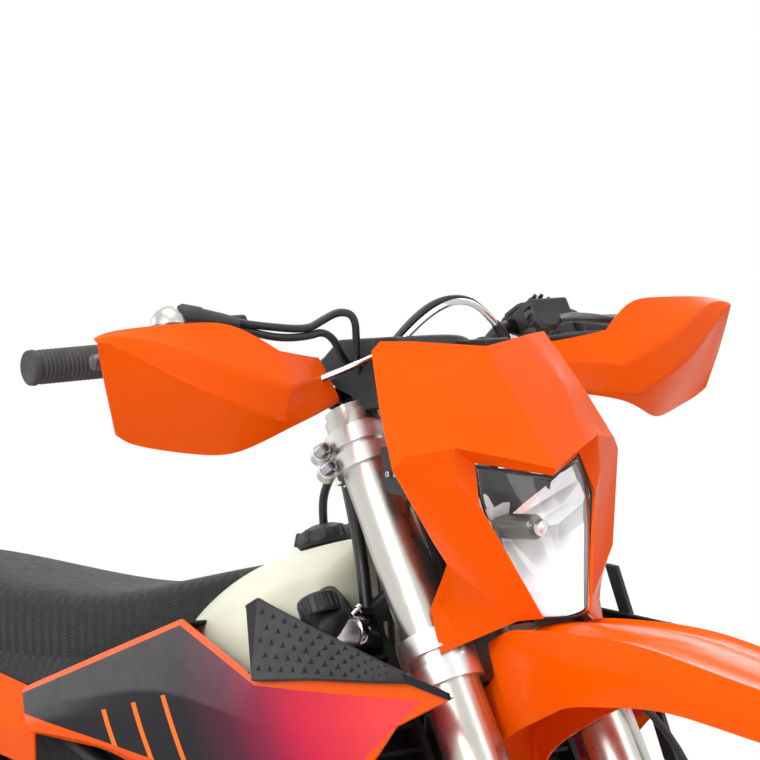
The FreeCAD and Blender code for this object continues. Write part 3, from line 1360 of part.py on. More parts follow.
def seat():
    """The seat's foam block over its base."""
    sections = []
    for x, half, low, top in SEAT_SHARES:
        row = [bay(x, half * out, low + (top - low) * up) for out, up in SEAT_SECTION_SHARES]
        sections.append(row + [Vector(p.x, -p.y, p.z) for p in reversed(row[1:])])
    shape = skinned(sections)
    tank = at_rest("fuel_tank")
    shape = shape.cut([tank, tank.translated(Vector(0, 0, s.seat_gap))])
    shape = shape.cut(subframe_tubes(s.seat_gap * 2))
    shaped("seat", max(shape.Solids, key=lambda piece: piece.Volume))


SHROUD_SHARES = (
    ((-0.24, 0.54, 0.742), (-0.2, 0.6, 0.705), (-0.16, 0.64, 0.665)),
    ((0.116, 0.57, 0.83), (0.116, 0.64, 0.755), (0.116, 0.67, 0.655)),
    ((0.402, 0.61, 0.899), (0.38, 0.71, 0.789), (0.34, 0.72, 0.622)),
    ((0.74, 0.8, 0.817), (0.7, 0.82, 0.739), (0.6, 0.76, 0.514)),
    ((0.96, 0.89, 0.832), (0.92, 0.9, 0.739), (0.77, 0.78, 0.405)),
    ((1.174, 0.93, 0.852), (1.1, 0.94, 0.755), (0.924, 0.82, 0.442)),
    ((1.412, 0.99, 0.83), (1.24, 0.97, 0.775), (1.032, 0.88, 0.622)))
KNEE_SHARES = (
    (0.632, 0.66, 0.932), (0.662, 0.605, 0.945), (0.902, 0.76, 0.91), (1.174, 0.935, 0.849),
    (0.96, 0.9, 0.827), (0.744, 0.815, 0.81))
KNEE_FACES = "ABCF CEF CDE"
SIDE_SHARES = (
    ((-0.164, 0.54, 0.739), (-0.172, 0.59, 0.655), (-0.192, 0.56, 0.595)),
    ((-0.5, 0.53, 0.795), (-0.5, 0.58, 0.705), (-0.492, 0.55, 0.632)),
    ((-0.82, 0.48, 0.832), (-0.812, 0.53, 0.755), (-0.78, 0.49, 0.692)),
    ((-1.06, 0.39, 0.83), (-1.052, 0.42, 0.797), (-1.036, 0.4, 0.755)))


def panels():
    """The radiator shrouds, the knee panels over them and the side panels behind."""
    shroud = ribbon([places(row) for row in SHROUD_SHARES], Vector(0, -s.plastic_t, 0))
    shaped("shrouds", pair(shroud))
    sunk = [point - Vector(0, s.plastic_t / 3, 0) for point in places(KNEE_SHARES)]
    knee = moulded(sunk, ring_numbers(KNEE_FACES), Vector(0, -s.plastic_t, 0))
    knee = knee.cut(shroud)
    shaped("knee_panels", pair(max(knee.Solids, key=lambda piece: piece.Volume)))
    side = ribbon([places(row) for row in SIDE_SHARES], Vector(0, -s.plastic_t, 0))
    shaped("side_panels", pair(side.cut(shroud)))


def radiator_block(extra, deep, ahead):
    """A block square to the steering axis at the radiator's place."""
    place = Placement(bay(*RADIATOR_SHARES), Rotation(Vector(0, 1, 0), -s.rake_angle))
    block = Part.makeBox(deep + extra * 2, s.radiator_w + extra * 2, s.radiator_h + extra * 2,
                         Vector(ahead - extra, -s.radiator_w / 2 - extra, -s.radiator_h / 2 - extra))
    block.Placement = place
    return block


RADIATOR_SHARES = (0.904, 0.47, 0.702)


def beside_radiator(n_share, y_share, s_share):
    """A point of the left radiator's own block, from its middle, in shares of its sizes."""
    place = Placement(bay(*RADIATOR_SHARES), Rotation(Vector(0, 1, 0), -s.rake_angle))
    return place.multVec(Vector(n_share * s.radiator_t, y_share * s.radiator_w, s_share * s.radiator_h))


def radiators():
    """The two radiators with their caps and hoses, and the louvred guards before them."""
    core = radiator_block(0, s.radiator_t, -s.radiator_t / 2)
    cap_at = beside_radiator(*RADIATOR_CAP_SHARES)
    up = Vector(-sin(s.rake_angle), 0, cos(s.rake_angle))
    deep = s.radiator_h / 4
    neck = Part.makeCylinder(s.radiator_cap_r * TIP_SHARE, deep, cap_at - up * deep, up)
    cap = Part.makeCylinder(s.radiator_cap_r, s.radiator_cap_r, cap_at, up)
    hose = rod([beside_radiator(*share) for share in HOSE_SHARES], s.hose_r, s.header_bend_r)
    right = mirrored(core.fuse([neck, cap])).fuse(mirrored(hose))
    clear = frame_tubes(s.seat_gap * 2) + [at_rest("fuel_tank")]
    shaped("radiators", Part.makeCompound([core.cut(clear),
                                           max(right.cut(clear).Solids, key=lambda p: p.Volume)]))
    guards = []
    frame_block = radiator_block(s.louvre_t, s.radiator_t / 2, s.radiator_t / 2 + s.louvre_t + s.seat_gap)
    opening = radiator_block(-s.louvre_t, s.radiator_t * 2, s.radiator_t / 2)
    ring = frame_block.cut(opening)
    place = Placement(bay(*RADIATOR_SHARES), Rotation(Vector(0, 1, 0), -s.rake_angle))
    pitch = s.radiator_h / (s.louvre_count + 1)
    slats = []
    for i in range(int(s.louvre_count)):
        slat = Part.makeBox(s.radiator_t / 2, s.radiator_w, s.louvre_t,
                            Vector(s.radiator_t / 2 + s.louvre_t + s.seat_gap, -s.radiator_w / 2,
                                   (i + 1) * pitch - s.radiator_h / 2))
        slat.Placement = place.multiply(slat.Placement)
        slats.append(slat)
    shape = ring.fuse(slats).cut(clear)
    passing = rod([mirror_y(beside_radiator(*share)) for share in HOSE_SHARES], s.hose_r + s.seat_gap,
                  s.header_bend_r)
    halves = [shape, mirrored(shape).cut([passing, at_rest("radiators")])]
    shaped("radiator_guards", Part.makeCompound([max(h.Solids, key=lambda p: p.Volume) for h in halves]))


RADIATOR_CAP_SHARES = (0.81, 0.21, 0.526)
HOSE_SHARES = ((0.18, 0.36, 0.444), (1.18, 0.36, 0.448), (0.99, -0.05, 0.505), (0.36, -0.12, 0.619))


def airbox():
    """The airbox under the seat with the intake boot that leads to the cylinder."""
    sections = []
    for x, half, low, top in AIRBOX_SHARES:
        sections.append([bay(x, half, low), bay(x, half, top), bay(x, -half, top), bay(x, -half, low)])
    box = skinned(sections)
    boot = rod(places(BOOT_SHARES), s.hose_r * BOOT_SHARE, s.header_bend_r)
    shape = box.fuse(boot)
    shape = shape.cut(at_rest("engine")).cut(subframe_tubes(s.seat_gap)).cut(frame_tubes(s.seat_gap))
    shaped("airbox", max(shape.Solids, key=lambda piece: piece.Volume))


AIRBOX_SHARES = ((-0.16, 0.29, 0.472, 0.699), (-0.36, 0.3, 0.405, 0.732), (-0.64, 0.28, 0.422, 0.759))
BOOT_SHARE = 1.6
BOOT_SHARES = ((0.3, 0.15, 0.435), (0.132, 0.31, 0.509), (-0.18, 0.26, 0.559))

TAIL_SHARES = (
    (-0.64, 0.46, 0.769, 0.795), (-0.9, 0.46, 0.802, 0.864), (-1.18, 0.46, 0.802, 0.865),
    (-1.46, 0.42, 0.789, 0.842), (-1.72, 0.36, 0.765, 0.805),
    (-1.96, 0.27, 0.739, 0.765))
TAIL_SECTION_SHARES = ((0, 1), (0.5, 0.92), (0.9, 0.66), (1, 0))


def rear_fender():
    """The rear fender, open below, and the lamp under its end."""
    rows = []
    for x, half, low, top in TAIL_SHARES:
        row = [(x, half * out, low + (top - low) * up) for out, up in TAIL_SECTION_SHARES]
        rows.append([bay(a, -b, c) for a, b, c in reversed(row[1:])] + [bay(*p) for p in row])
    middle = [row[len(row) // 2] for row in rows]
    shell = ribbon(rows, [-offset for offset in under(middle, s.plastic_t)])
    shell = shell.cut([at_rest("seat"), at_rest("side_panels")]).cut(subframe_tubes(s.seat_gap))
    shaped("rear_fender", max(shell.Solids, key=lambda piece: piece.Volume))
    light = bay(*LAMP_SHARES)
    sides = Vector(*TAIL_LIGHT_SHARES) * s.cap_r
    block = Part.makeBox(*sides, light - Vector(sides.x / 2, sides.y / 2, sides.z))
    block = block.makeFillet(s.cable_r, block.Edges).cut(shell)
    shaped("tail_light", max(block.Solids, key=lambda piece: piece.Volume))


LAMP_SHARES = (-1.86, 0, 0.769)
TAIL_LIGHT_SHARES = (1, 1.4, 0.7)


def swingarm():
    """The swingarm: two tapered arms, a bridge and the axle blocks, wide enough to pass the chain."""
    sections = []
    for x, y, up, half in ARM_SHARES:
        middle = bay(x, y, up)
        tall = half * s.body_half_w
        sections.append([middle + Vector(0, -s.arm_w / 2, -tall), middle + Vector(0, s.arm_w / 2, -tall),
                         middle + Vector(0, s.arm_w / 2, tall), middle + Vector(0, -s.arm_w / 2, tall)])
    arm = skinned(sections)
    pieces = both_sides(arm)
    bridge = rod([bay(*BRIDGE_SHARES), bay(BRIDGE_SHARES[0], -BRIDGE_SHARES[1], BRIDGE_SHARES[2])], s.arm_w)
    inner = ARM_SHARES[0][1] * s.body_half_w
    tube = Part.makeCylinder(s.pivot_r * PIVOT_TUBE_SHARE, inner * 2,
                             Vector(PIVOT_X, -inner, s.pivot_height), Vector(0, 1, 0))
    joined = pieces[0].fuse([pieces[1], bridge, tube])
    bolt = Part.makeCylinder(s.pivot_r, s.wheelbase, Vector(PIVOT_X, -s.wheelbase / 2, s.pivot_height),
                             Vector(0, 1, 0))
    axle = Part.makeCylinder(s.rear_axle_r, s.wheelbase, Vector(REAR_X, -s.wheelbase / 2, s.rear_tyre_r),
                             Vector(0, 1, 0))
    joined = joined.cut([bolt, axle]).cut(frame_tubes(s.seat_gap))
    shaped("swingarm", joined)
    plate = SPAR_SHARES[-1][1] * s.body_half_w + s.pivot_plate_t / 2 + s.axle_head_t
    pivot = turned("pivot_bolt_body", [(s.rear_axle_bore_r, -plate), (s.pivot_r, -plate),
                                       (s.pivot_r, plate), (s.rear_axle_bore_r, plate)])
    keep("pivot_bolt", pivot, Placement(Vector(PIVOT_X, 0, s.pivot_height), Rotation()))
    end = s.arm_tip_half + s.arm_w + s.axle_head_t
    axle = turned("rear_axle_body", [
        (s.rear_axle_bore_r, -end), (s.rear_axle_r, -end), (s.rear_axle_r, end), (s.rear_axle_bore_r, end)])
    keep("rear_axle", axle, Placement(Vector(REAR_X, 0, s.rear_tyre_r), Rotation()))


ARM_SHARES = ((0.044, 0.34, 0, 0.135), (-0.06, 0.34, -0.003, 0.135), (-0.56, 0.46, -0.055, 0.14),
              (-0.88, 0.545, -0.09, 0.12), (-1.1, 0.55, -0.108, 0.105), (-1.26, 0.55, -0.108, 0.095))
PIVOT_TUBE_SHARE = 1.8
BRIDGE_SHARES = (-0.224, 0.35, -0.018)


def shock():
    """The rear shock with its spring, from the frame down to the swingarm's bridge."""
    top = bay(*SHOCK_TOP_SHARES)
    low = bay(*SHOCK_LOW_SHARES)
    run = (top - low).normalize()
    length = (top - low).Length
    body = Part.makeCylinder(s.shock_r * SHOCK_BODY_SHARE, length, low, run)
    profile_points = []
    pitch = length * SPRING_SHARE / s.spring_turn_count
    start = length * SPRING_LOW_SHARE
    for i in range(int(s.spring_turn_count)):
        profile_points += [(s.shock_r * out if out < 1 else s.spring_r, start + (i + up) * pitch) for out,
                           up in COIL_SHARES]
    ring = [Vector(0, 0, start)] + [Vector(r, 0, z) for r,
                                    z in profile_points] + [Vector(0, 0, start + s.spring_turn_count * pitch)]
    coil = polygon(ring).revolve(Vector(), Vector(0, 0, 1), 360)
    coil.Placement = Placement(low, Rotation(Vector(0, 0, 1), run))
    half = s.shock_r * SHOCK_EYE_SHARE
    eye, head = [Part.makeCylinder(s.shock_r * TIP_SHARE, half * 2, end - Vector(0, half, 0), Vector(0, 1, 0))
                 for end in (low, top)]
    shape = body.fuse([coil, eye, head])
    shape = shape.cut([at_rest("swingarm"), at_rest("airbox")]).cut(frame_tubes(s.seat_gap))
    shaped("shock", max(shape.Solids, key=lambda piece: piece.Volume))


SHOCK_TOP_SHARES = (0.064, -0.08, 0.488)
SHOCK_LOW_SHARES = (-0.2, -0.08, 0.055)
SHOCK_BODY_SHARE = 0.6
SHOCK_EYE_SHARE = 0.8
COIL_SHARES = ((0.8, 0), (1, 0.3), (1, 0.6), (0.8, 0.9))
SPRING_SHARE = 0.62
SPRING_LOW_SHARE = 0.2


def loop(radius_extra):
    """The chain's loop round both sprockets, offset outwards."""
    front = Vector(PIVOT_X + s.countershaft_forward, 0, s.pivot_height + s.countershaft_rise)
    rear = Vector(REAR_X, 0, s.rear_tyre_r)
    span = front - rear
    tilt = math.degrees(math.atan2(span.z, span.x))
    spread = math.degrees(math.asin((s.sprocket_r - s.front_sprocket_r) / span.Length))
    r_front = s.front_sprocket_r + radius_extra
    r_rear = s.sprocket_r + radius_extra

    def on(middle, radius, angle):
        return middle + Vector(radius * cos(angle), 0, radius * sin(angle))

    high = tilt + 90 - spread
    low = tilt - 90 + spread
    top = (on(rear, r_rear, high), on(front, r_front, high))
    bottom = (on(front, r_front, low), on(rear, r_rear, low))
    wrap = 360 - (high - low)
    steps = int(s.chain_arc_count)
    behind = [on(rear, r_rear, high + wrap * i / steps) for i in range(steps + 1)]
    ahead = [on(front, r_front, low + (high - low) * i / steps) for i in range(steps + 1)]
    return Part.makePolygon(behind + ahead + behind[:1]), top, bottom


def pin(start, radius, length):
    """A pin with flat sides, to the left from a point."""
    turn = 360 / s.roller_side_count
    ring = [start + Vector(radius * cos(i * turn), 0,
                           radius * sin(i * turn)) for i in range(int(s.roller_side_count))]
    return polygon(ring).extrude(Vector(0, length, 0))


def chain():
    """The drive chain: two bands of side plates joined by rollers on the straight runs."""
    outer, top, bottom = loop(s.chain_plate_w / 2)
    inner, _, _ = loop(-s.chain_plate_w / 2)
    _, top, bottom = loop(0)
    band = Part.Face(outer).cut(Part.Face(inner))
    half = s.sprocket_t / 2 + s.chain_side_gap
    bands = []
    for side in (-1, 1):
        y = s.chain_y + side * half - (s.chain_plate_t if side < 0 else 0)
        bands.append(band.extrude(Vector(0, s.chain_plate_t, 0)).translated(Vector(0, y, 0)))
    skip = int(s.roller_skip_count)
    rollers = []
    for start, end, skip_start, skip_end in ((*top, skip, 0), (*bottom, 0, skip)):
        count = int((end - start).Length / (s.chain_pitch * s.roller_step_count))
        for i in range(skip_start, count - skip_end):
            at = along(start, end, (2 * i + 1) / (2 * count))
            rollers.append(pin(at + Vector(0, s.chain_y - half, 0), s.chain_pitch * ROLLER_SHARE, half * 2))
    shaped("chain", bands[0].fuse([bands[1]] + rollers))
    middle = Vector(PIVOT_X + s.countershaft_forward, 0, s.pivot_height + s.countershaft_rise)
    teeth = Part.makeCylinder(s.front_sprocket_r - s.chain_pitch / 2, s.sprocket_t,
                              middle + Vector(0, s.chain_y - s.sprocket_t / 2, 0), Vector(0, 1, 0))
    left = s.engine_half_w * CASE_SHARE
    shaft = Part.makeCylinder(s.front_sprocket_r / 2, s.chain_y - left + s.sprocket_t,
                              middle + Vector(0, left, 0), Vector(0, 1, 0))
    shaped("drive_sprocket", teeth.fuse(shaft).cut(at_rest("engine")))


ROLLER_SHARE = 0.25


def chain_guide():
    """The guide that keeps the lower run on the rear sprocket, on the left arm."""
    middle = bay(*GUIDE_SHARES)
    wide = s.sprocket_t + s.chain_side_gap * 2 + s.chain_plate_t * 2 + s.plastic_t * 2
    half = wide / 2 + s.plastic_t
    block = Part.makeBox(s.arm_half, half * 2, s.arm_half,
                         Vector(middle.x - s.arm_half / 2, s.chain_y - half,
                                middle.z - s.arm_half * GUIDE_DROP_SHARE))
    slot = Part.makeBox(s.arm_half * 2, wide, s.chain_plate_w * 2,
                        Vector(middle.x - s.arm_half, s.chain_y - wide / 2,
                               middle.z - s.chain_plate_w * SLOT_DROP_SHARE))
    stem = Part.makeBox(s.arm_w, s.arm_w, s.arm_half * GUIDE_STEM_SHARE,
                        Vector(middle.x - s.arm_w / 2, s.chain_y + half - s.plastic_t,
                               middle.z - s.plastic_t))
    shape = block.cut(slot).fuse(stem).cut(at_rest("swingarm")).cut(loop_block())
    shaped("chain_guide", max(shape.Solids, key=lambda piece: piece.Volume))


def loop_block():
    outer, _, _ = loop(s.chain_plate_w / 2 + s.plastic_t)
    inner, _, _ = loop(-s.chain_plate_w / 2 - s.plastic_t)
    wide = s.sprocket_t + s.chain_side_gap * 2 + s.chain_plate_t * 2 + s.plastic_t * 2
    band = Part.Face(outer).cut(Part.Face(inner))
    return band.extrude(Vector(0, wide, 0)).translated(Vector(0, s.chain_y - wide / 2, 0))


GUIDE_SHARES = (-0.74, 0.42, -0.24)
GUIDE_DROP_SHARE = 0.62
GUIDE_STEM_SHARE = 1.2
SLOT_DROP_SHARE = 1.4


def skid_plate():
    """The skid plate under the cradle."""
    rows = []
    for x, up in SKID_SHARES:
        rows.append([bay(x, -SKID_HALF_SHARE, up), bay(x, SKID_HALF_SHARE, up)])
    shape = ribbon(rows, [-offset for offset in under([row[0] for row in rows], s.plastic_t)])
    shaped("skid_plate", shape.cut(frame_tubes(s.seat_gap)))


SKID_SHARES = ((0.824, 0.044), (0.756, -0.066), (0.692, -0.096), (0.16, -0.096))
SKID_HALF_SHARE = 0.42


def foot_controls():
    """The footpegs, the rear brake pedal and the shift lever."""
    inner = bay(*PEG_INNER_SHARES)
    peg = Part.makeBox(s.peg_w, s.peg_len, s.peg_h, inner + Vector(-s.peg_w / 2, 0, -s.peg_h / 2))
    window = Part.makeBox(s.peg_w - s.peg_h, s.peg_len - s.peg_h * 2, s.peg_h * 3,
                          inner + Vector(-s.peg_w / 2 + s.peg_h / 2, s.peg_h * PEG_END_SHARE,
                                         -s.peg_h * 3 / 2))
    bar = Part.makeBox(s.peg_h / 2, s.peg_len - s.peg_h, s.peg_h,
                       inner + Vector(-s.peg_h / 4, 0, -s.peg_h / 2))
    peg = peg.cut(window).fuse(bar)
    pedal = mirrored(rod(places(PEDAL_SHARES), s.rail_r * TIP_SHARE, s.frame_bend_r / 2))
    pad = Part.makeBox(s.peg_w / 2, s.peg_w * TIP_SHARE, s.peg_h / 2,
                       bay(*PEDAL_SHARES[-1]) - Vector(s.peg_w / 4, 0, 0))
    lever = rod(places(SHIFT_SHARES), s.rail_r * SHIFT_SHARE, s.frame_bend_r / 2)
    knob = Part.makeCylinder(s.rail_r * KNOB_SHARE, s.peg_w * KNOB_LENGTH_SHARE, bay(*SHIFT_SHARES[-1]),
                             Vector(0, 1, 0))
    pegs = [p.cut(at_rest("frame")) for p in (peg, mirrored(peg))]
    shaped("footpegs", Part.makeCompound(pegs))
    covers = at_rest("engine_covers")
    solids = [pedal.fuse(mirrored(pad)).cut(at_rest("frame")).cut(covers),
              lever.fuse(knob).cut([covers, at_rest("frame"), at_rest("engine")])]
    shaped("foot_levers", Part.makeCompound([max(p.Solids, key=lambda q: q.Volume) for p in solids]))


PEG_END_SHARE = 1.4
SHIFT_SHARE = 0.55
KNOB_SHARE = 0.9
KNOB_LENGTH_SHARE = 0.6
PEDAL_SHARES = ((0.008, 0.58, -0.035), (0.044, 0.65, -0.068), (0.16, 0.67, -0.092), (0.32, 0.75, -0.035),
                (0.36, 0.76, -0.015))
SHIFT_SHARES = ((0.276, 0.2, -0.018), (0.276, 0.56, -0.018), (0.42, 0.66, -0.008), (0.468, 0.69, -0.005))


def rear_brake():
    """The rear caliper on the right arm."""
    size = s.rear_disc_r * CALIPER_SHARE
    place = Vector(REAR_X + s.rear_disc_r * REAR_AHEAD_SHARE, -s.rear_disc_y,
                   s.rear_tyre_r + s.rear_disc_r * REAR_UP_SHARE)
    body = caliper_block(size, REAR_BODY_SHARES, place + Vector(*REAR_BODY_AT_SHARES) * size)
    slot = Part.makeCylinder(s.rear_disc_r + s.disc_t, s.disc_t * DISC_SLOT_SHARE,
                             Vector(REAR_X, -s.rear_disc_y - s.disc_t * DISC_SLOT_SHARE / 2, s.rear_tyre_r),
                             Vector(0, 1, 0))
    tab = Part.makeBox(size * TIP_SHARE, s.arm_w, s.disc_t * 2,
                       place + Vector(size * REAR_TAB_SHARE, -s.arm_w * REAR_TAB_OUT_SHARE,
                                      -size * REAR_TAB_SHARE))
    arm = rod([place - Vector(0, size * CALIPER_ARM_SHARE, 0),
               Vector(place.x, -ARM_SHARES[-1][1] * s.body_half_w, place.z - size / 2)], s.disc_t * 2)
    shape = body.fuse([tab, arm]).cut(slot).cut(at_rest("swingarm"))
    shaped("rear_caliper", max(shape.Solids, key=lambda piece: piece.Volume))


REAR_AHEAD_SHARE = 0.86
REAR_UP_SHARE = 0.42
REAR_BODY_SHARES = (1.4, 0.6, 1)
REAR_BODY_AT_SHARES = (0.1, -0.06, 0.2)
REAR_TAB_SHARE = 0.1
REAR_TAB_OUT_SHARE = 2.1


def chassis():
    frame()
    subframe()
    engine()
    exhaust()
    fuel_tank()
    seat()
    panels()
    radiators()
    airbox()
    rear_fender()
    swingarm()
    shock()
    chain()
    chain_guide()
    skid_plate()
    foot_controls()
    rear_brake()


# Side stand

def side_stand():
    """The side stand: a leg from its pin on the frame to a foot flat on the ground."""
    pin_at = LEAN.multVec(stand_pivot())
    axis = LEAN.Rotation.multVec(STAND_AXIS)
    foot = Vector(pin_at.x + s.stand_forward, pin_at.y + s.stand_out, 0)
    top = pin_at + axis * (s.stand_r + s.seat_gap)
    ankle = foot + Vector(0, 0, s.stand_foot_t)
    leg = rod([top, ankle], s.stand_r)
    eye = Part.makeCylinder(s.stand_boss_r, s.stand_r * 2, pin_at + axis * s.seat_gap, axis)
    pin = Part.makeCylinder(s.stand_r / 2, s.stand_boss_t * 2, pin_at - axis * s.stand_boss_t, axis)
    plate = Part.makeCylinder(s.stand_foot_r, s.stand_foot_t, foot)
    below = Part.makeBox(s.wheelbase, s.wheelbase, s.wheelbase,
                         foot - Vector(s.wheelbase / 2, s.wheelbase / 2, s.wheelbase))
    shape = leg.fuse([eye, pin, plate]).cut(below)
    piece = doc.addObject("Part::Feature", "side_stand")
    piece.Shape = shape
    piece.Label = "side_stand"
    nodes["side_stand"] = piece


def write():
    doc.recompute()
    for obj in doc.Objects:
        if "Invalid" in obj.State or "Error" in obj.State:
            raise RuntimeError("failed: " + obj.Label)
    os.makedirs("parts", exist_ok=True)
    for label, piece in nodes.items():
        shape = piece.Shape
        if shape.isNull() or not shape.isValid():
            raise RuntimeError("bad shape: " + label)
        shape.exportStep("parts/%s.step" % label)


wheels()
steering()
chassis()
side_stand()
write()
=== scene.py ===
import math

import bmesh
import bpy
from mathutils import Matrix, Vector


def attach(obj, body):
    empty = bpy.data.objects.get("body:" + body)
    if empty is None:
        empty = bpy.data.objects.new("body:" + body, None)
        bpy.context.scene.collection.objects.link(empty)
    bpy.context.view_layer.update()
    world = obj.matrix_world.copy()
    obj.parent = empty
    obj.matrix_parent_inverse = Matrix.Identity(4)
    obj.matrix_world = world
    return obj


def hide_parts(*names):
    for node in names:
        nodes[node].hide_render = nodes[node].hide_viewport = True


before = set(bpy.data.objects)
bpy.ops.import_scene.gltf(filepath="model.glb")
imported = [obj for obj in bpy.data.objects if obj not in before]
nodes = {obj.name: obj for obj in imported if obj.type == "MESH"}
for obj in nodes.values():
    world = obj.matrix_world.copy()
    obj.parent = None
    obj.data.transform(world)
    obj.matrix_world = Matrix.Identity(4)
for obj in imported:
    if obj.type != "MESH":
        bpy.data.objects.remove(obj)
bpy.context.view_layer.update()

# Places: the upright bike, its fork, and the leaning row frame, in millimetres
RAKE = math.radians(26.5)
LEAN_ANGLE = math.radians(11)
PITCH = math.radians(0.029869)
SHIFT = Vector((21.0, -237.774, 1.9784))
FOOT_X = 852.0
LEAN = (Matrix.Translation(SHIFT) @ Matrix.Rotation(PITCH, 4, "Y")
        @ Matrix.Rotation(-LEAN_ANGLE, 4, "X"))
STEER = LEAN @ Matrix.Translation((FOOT_X, 0, 0)) @ Matrix.Rotation(-RAKE, 4, "Y")
AHEAD = (STEER.to_3x3() @ Vector((1, 0, 0))).normalized()
UP = LEAN.to_3x3() @ Vector((0, 0, 1))
MM = 0.001


def bike(x, y, z):
    """A point of the upright bike, in the row frame, in metres."""
    return (LEAN @ Vector((x, y, z))) * MM


def fork(n, y, s):
    """A point ahead of, beside and up the steering axis, in the row frame, in metres."""
    return (STEER @ Vector((n, y, s))) * MM


def linked(name, data):
    obj = bpy.data.objects.new(name, data)
    bpy.context.collection.objects.link(obj)
    return obj


def set_all(thing, **values):
    """Sets several properties of a thing and gives it back."""
    for key, value in values.items():
        setattr(thing, key, value)
    return thing


def smooth(mesh):
    for face in mesh.polygons:
        face.use_smooth = True


def circle(count):
    """Cosine and sine of evenly spaced angles."""
    return [(math.cos(a), math.sin(a)) for a in (2 * math.pi * k / count for k in range(count))]


# Camera, at the photograph's angle; lengths in millimetres, focal length in pixels of the frame
THETA = math.radians(40.47)
ELEV = math.radians(1.73)
ROLL = math.radians(-2.72)
TARGET = Vector((390, -124.5, 1192.3))
DIST = 3223
FOCAL = 3355
PIXELS = 760
SENSOR = 36


def camera():
    back = Vector((math.cos(THETA) * math.cos(ELEV), -math.sin(THETA) * math.cos(ELEV), math.sin(ELEV)))
    right = (-back).cross(Vector((0, 0, 1))).normalized()
    up = right.cross(-back)
    side = math.cos(ROLL) * right + math.sin(ROLL) * up
    top = -math.sin(ROLL) * right + math.cos(ROLL) * up
    turn = Matrix((side, top, back)).transposed().to_4x4()
    where = LEAN @ Matrix.Translation(TARGET + back * DIST) @ turn
    where.translation = where.translation * MM
    data = set_all(bpy.data.cameras.new("camera"), sensor_width=SENSOR, lens=FOCAL * SENSOR / PIXELS,
                   clip_start=0.1, clip_end=60)
    bpy.context.scene.camera = set_all(linked("camera", data), matrix_world=where)


camera()


# Materials

def feed(mat, socket, value):
    """Links a node's output to an input socket, or sets the socket's value."""
    if isinstance(value, bpy.types.NodeSocket):
        mat.node_tree.links.new(value, socket)
    else:
        socket.default_value = value


def drive(mat, key, value):
    """Feeds an input of a material's main shader."""
    feed(mat, mat.node_tree.nodes["Principled BSDF"].inputs[key.replace("_", " ")], value)


def shader(name, color, rough, metal=0.0, **more):
    """A material of one principled shader."""
    mat = bpy.data.materials.new(name)
    mat.use_nodes = True
    for key, value in dict(more, Base_Color=(*color, 1), Roughness=rough, Metallic=metal).items():
        drive(mat, key, value)
    return mat


def add(mat, kind, **sockets):
    """A node with its inputs fed; a name that starts with set_ is a property of the node."""
    node = mat.node_tree.nodes.new("ShaderNode" + kind)
    for key, value in sockets.items():
        if key.startswith("set_"):
            setattr(node, key[4:], value)
        else:
            feed(mat, node.inputs[key.replace("_", " ")], value)
    return node


def coords(mat, scale=(1, 1, 1)):
    """Object coordinates, scaled."""
    return add(mat, "Mapping", Scale=scale, Vector=add(mat, "TexCoord").outputs["Object"]).outputs["Vector"]


def noise(mat, size, detail=3, scale=(1, 1, 1)):
    """Noise whose grains are about size metres across."""
    return add(mat, "TexNoise", Scale=1 / size, Detail=detail, Vector=coords(mat, scale)).outputs["Fac"]


def cells(mat, size):
    """Distance to the middle of cells about size metres across."""
    return add(mat, "TexVoronoi", Scale=1 / size, Vector=coords(mat)).outputs["Distance"]


def ramp(mat, value, *stops):
    """A colour ramp of stops, each a position and a colour."""
    node = add(mat, "ValToRGB", Fac=value)
    marks = node.color_ramp.elements
    while len(marks) < len(stops):
        marks.new(0.5)
    for mark, (position, color) in zip(marks, stops):
        mark.position = position
        mark.color = (*color, 1)
    return node.outputs["Color"]


# Noise lies mostly between these two values
NOISE_LOW, NOISE_HIGH = 0.3, 0.7


def vary(mat, value, color, amount):
    """Colour that drifts a little around its own value."""
    low = tuple(c * (1 - amount) for c in color)
    high = tuple(min(1, c * (1 + amount)) for c in color)
    drive(mat, "Base Color", ramp(mat, value, (NOISE_LOW, low), (NOISE_HIGH, high)))


def rough_range(mat, value, low, high):
    spread = add(mat, "MapRange", From_Min=NOISE_LOW, From_Max=NOISE_HIGH, To_Min=low, To_Max=high, Value=value)
    drive(mat, "Roughness", spread.outputs["Result"])


def bump(mat, value, depth, strength):
    drive(mat, "Normal", add(mat, "Bump", Strength=strength, Distance=depth, Height=value).outputs["Normal"])


def gloss_plastic(name, color, rough=0.24):
    mat = shader(name, color, rough, Coat_Weight=0.04, Coat_Roughness=0.05, Specular_IOR_Level=0.08)
    vary(mat, noise(mat, 0.09), color, 0.03)
    rough_range(mat, noise(mat, 0.02), rough * 0.85, rough * 1.2)
    bump(mat, noise(mat, 0.0035, 2), 0.00006, 0.5)
    return mat


def grained(name, color, rough=0.5, grain=0.0009):
    mat = shader(name, color, rough)
    vary(mat, noise(mat, 0.05), color, 0.12)
    bump(mat, cells(mat, grain), 0.00012, 0.6)
    rough_range(mat, noise(mat, 0.015), rough * 0.85, rough * 1.15)
    return mat


def brushed(name, color, rough, stretch=(1, 1, 1), metal=1.0):
    """Metal with fine lines; stretch makes the lines longer along an axis."""
    mat = shader(name, color, rough, metal)
    lines = noise(mat, 0.0012, 4, stretch)
    rough_range(mat, lines, rough * 0.8, rough * 1.25)
    bump(mat, lines, 0.000006, 0.3)
    vary(mat, noise(mat, 0.06), color, 0.04)
    return mat


def satin(name, color, rough, metal=1.0):
    """Smooth machined metal whose shine drifts a little."""
    mat = shader(name, color, rough, metal)
    vary(mat, noise(mat, 0.05), color, 0.03)
    rough_range(mat, noise(mat, 0.012, 4), rough * 0.88, rough * 1.12)
    return mat


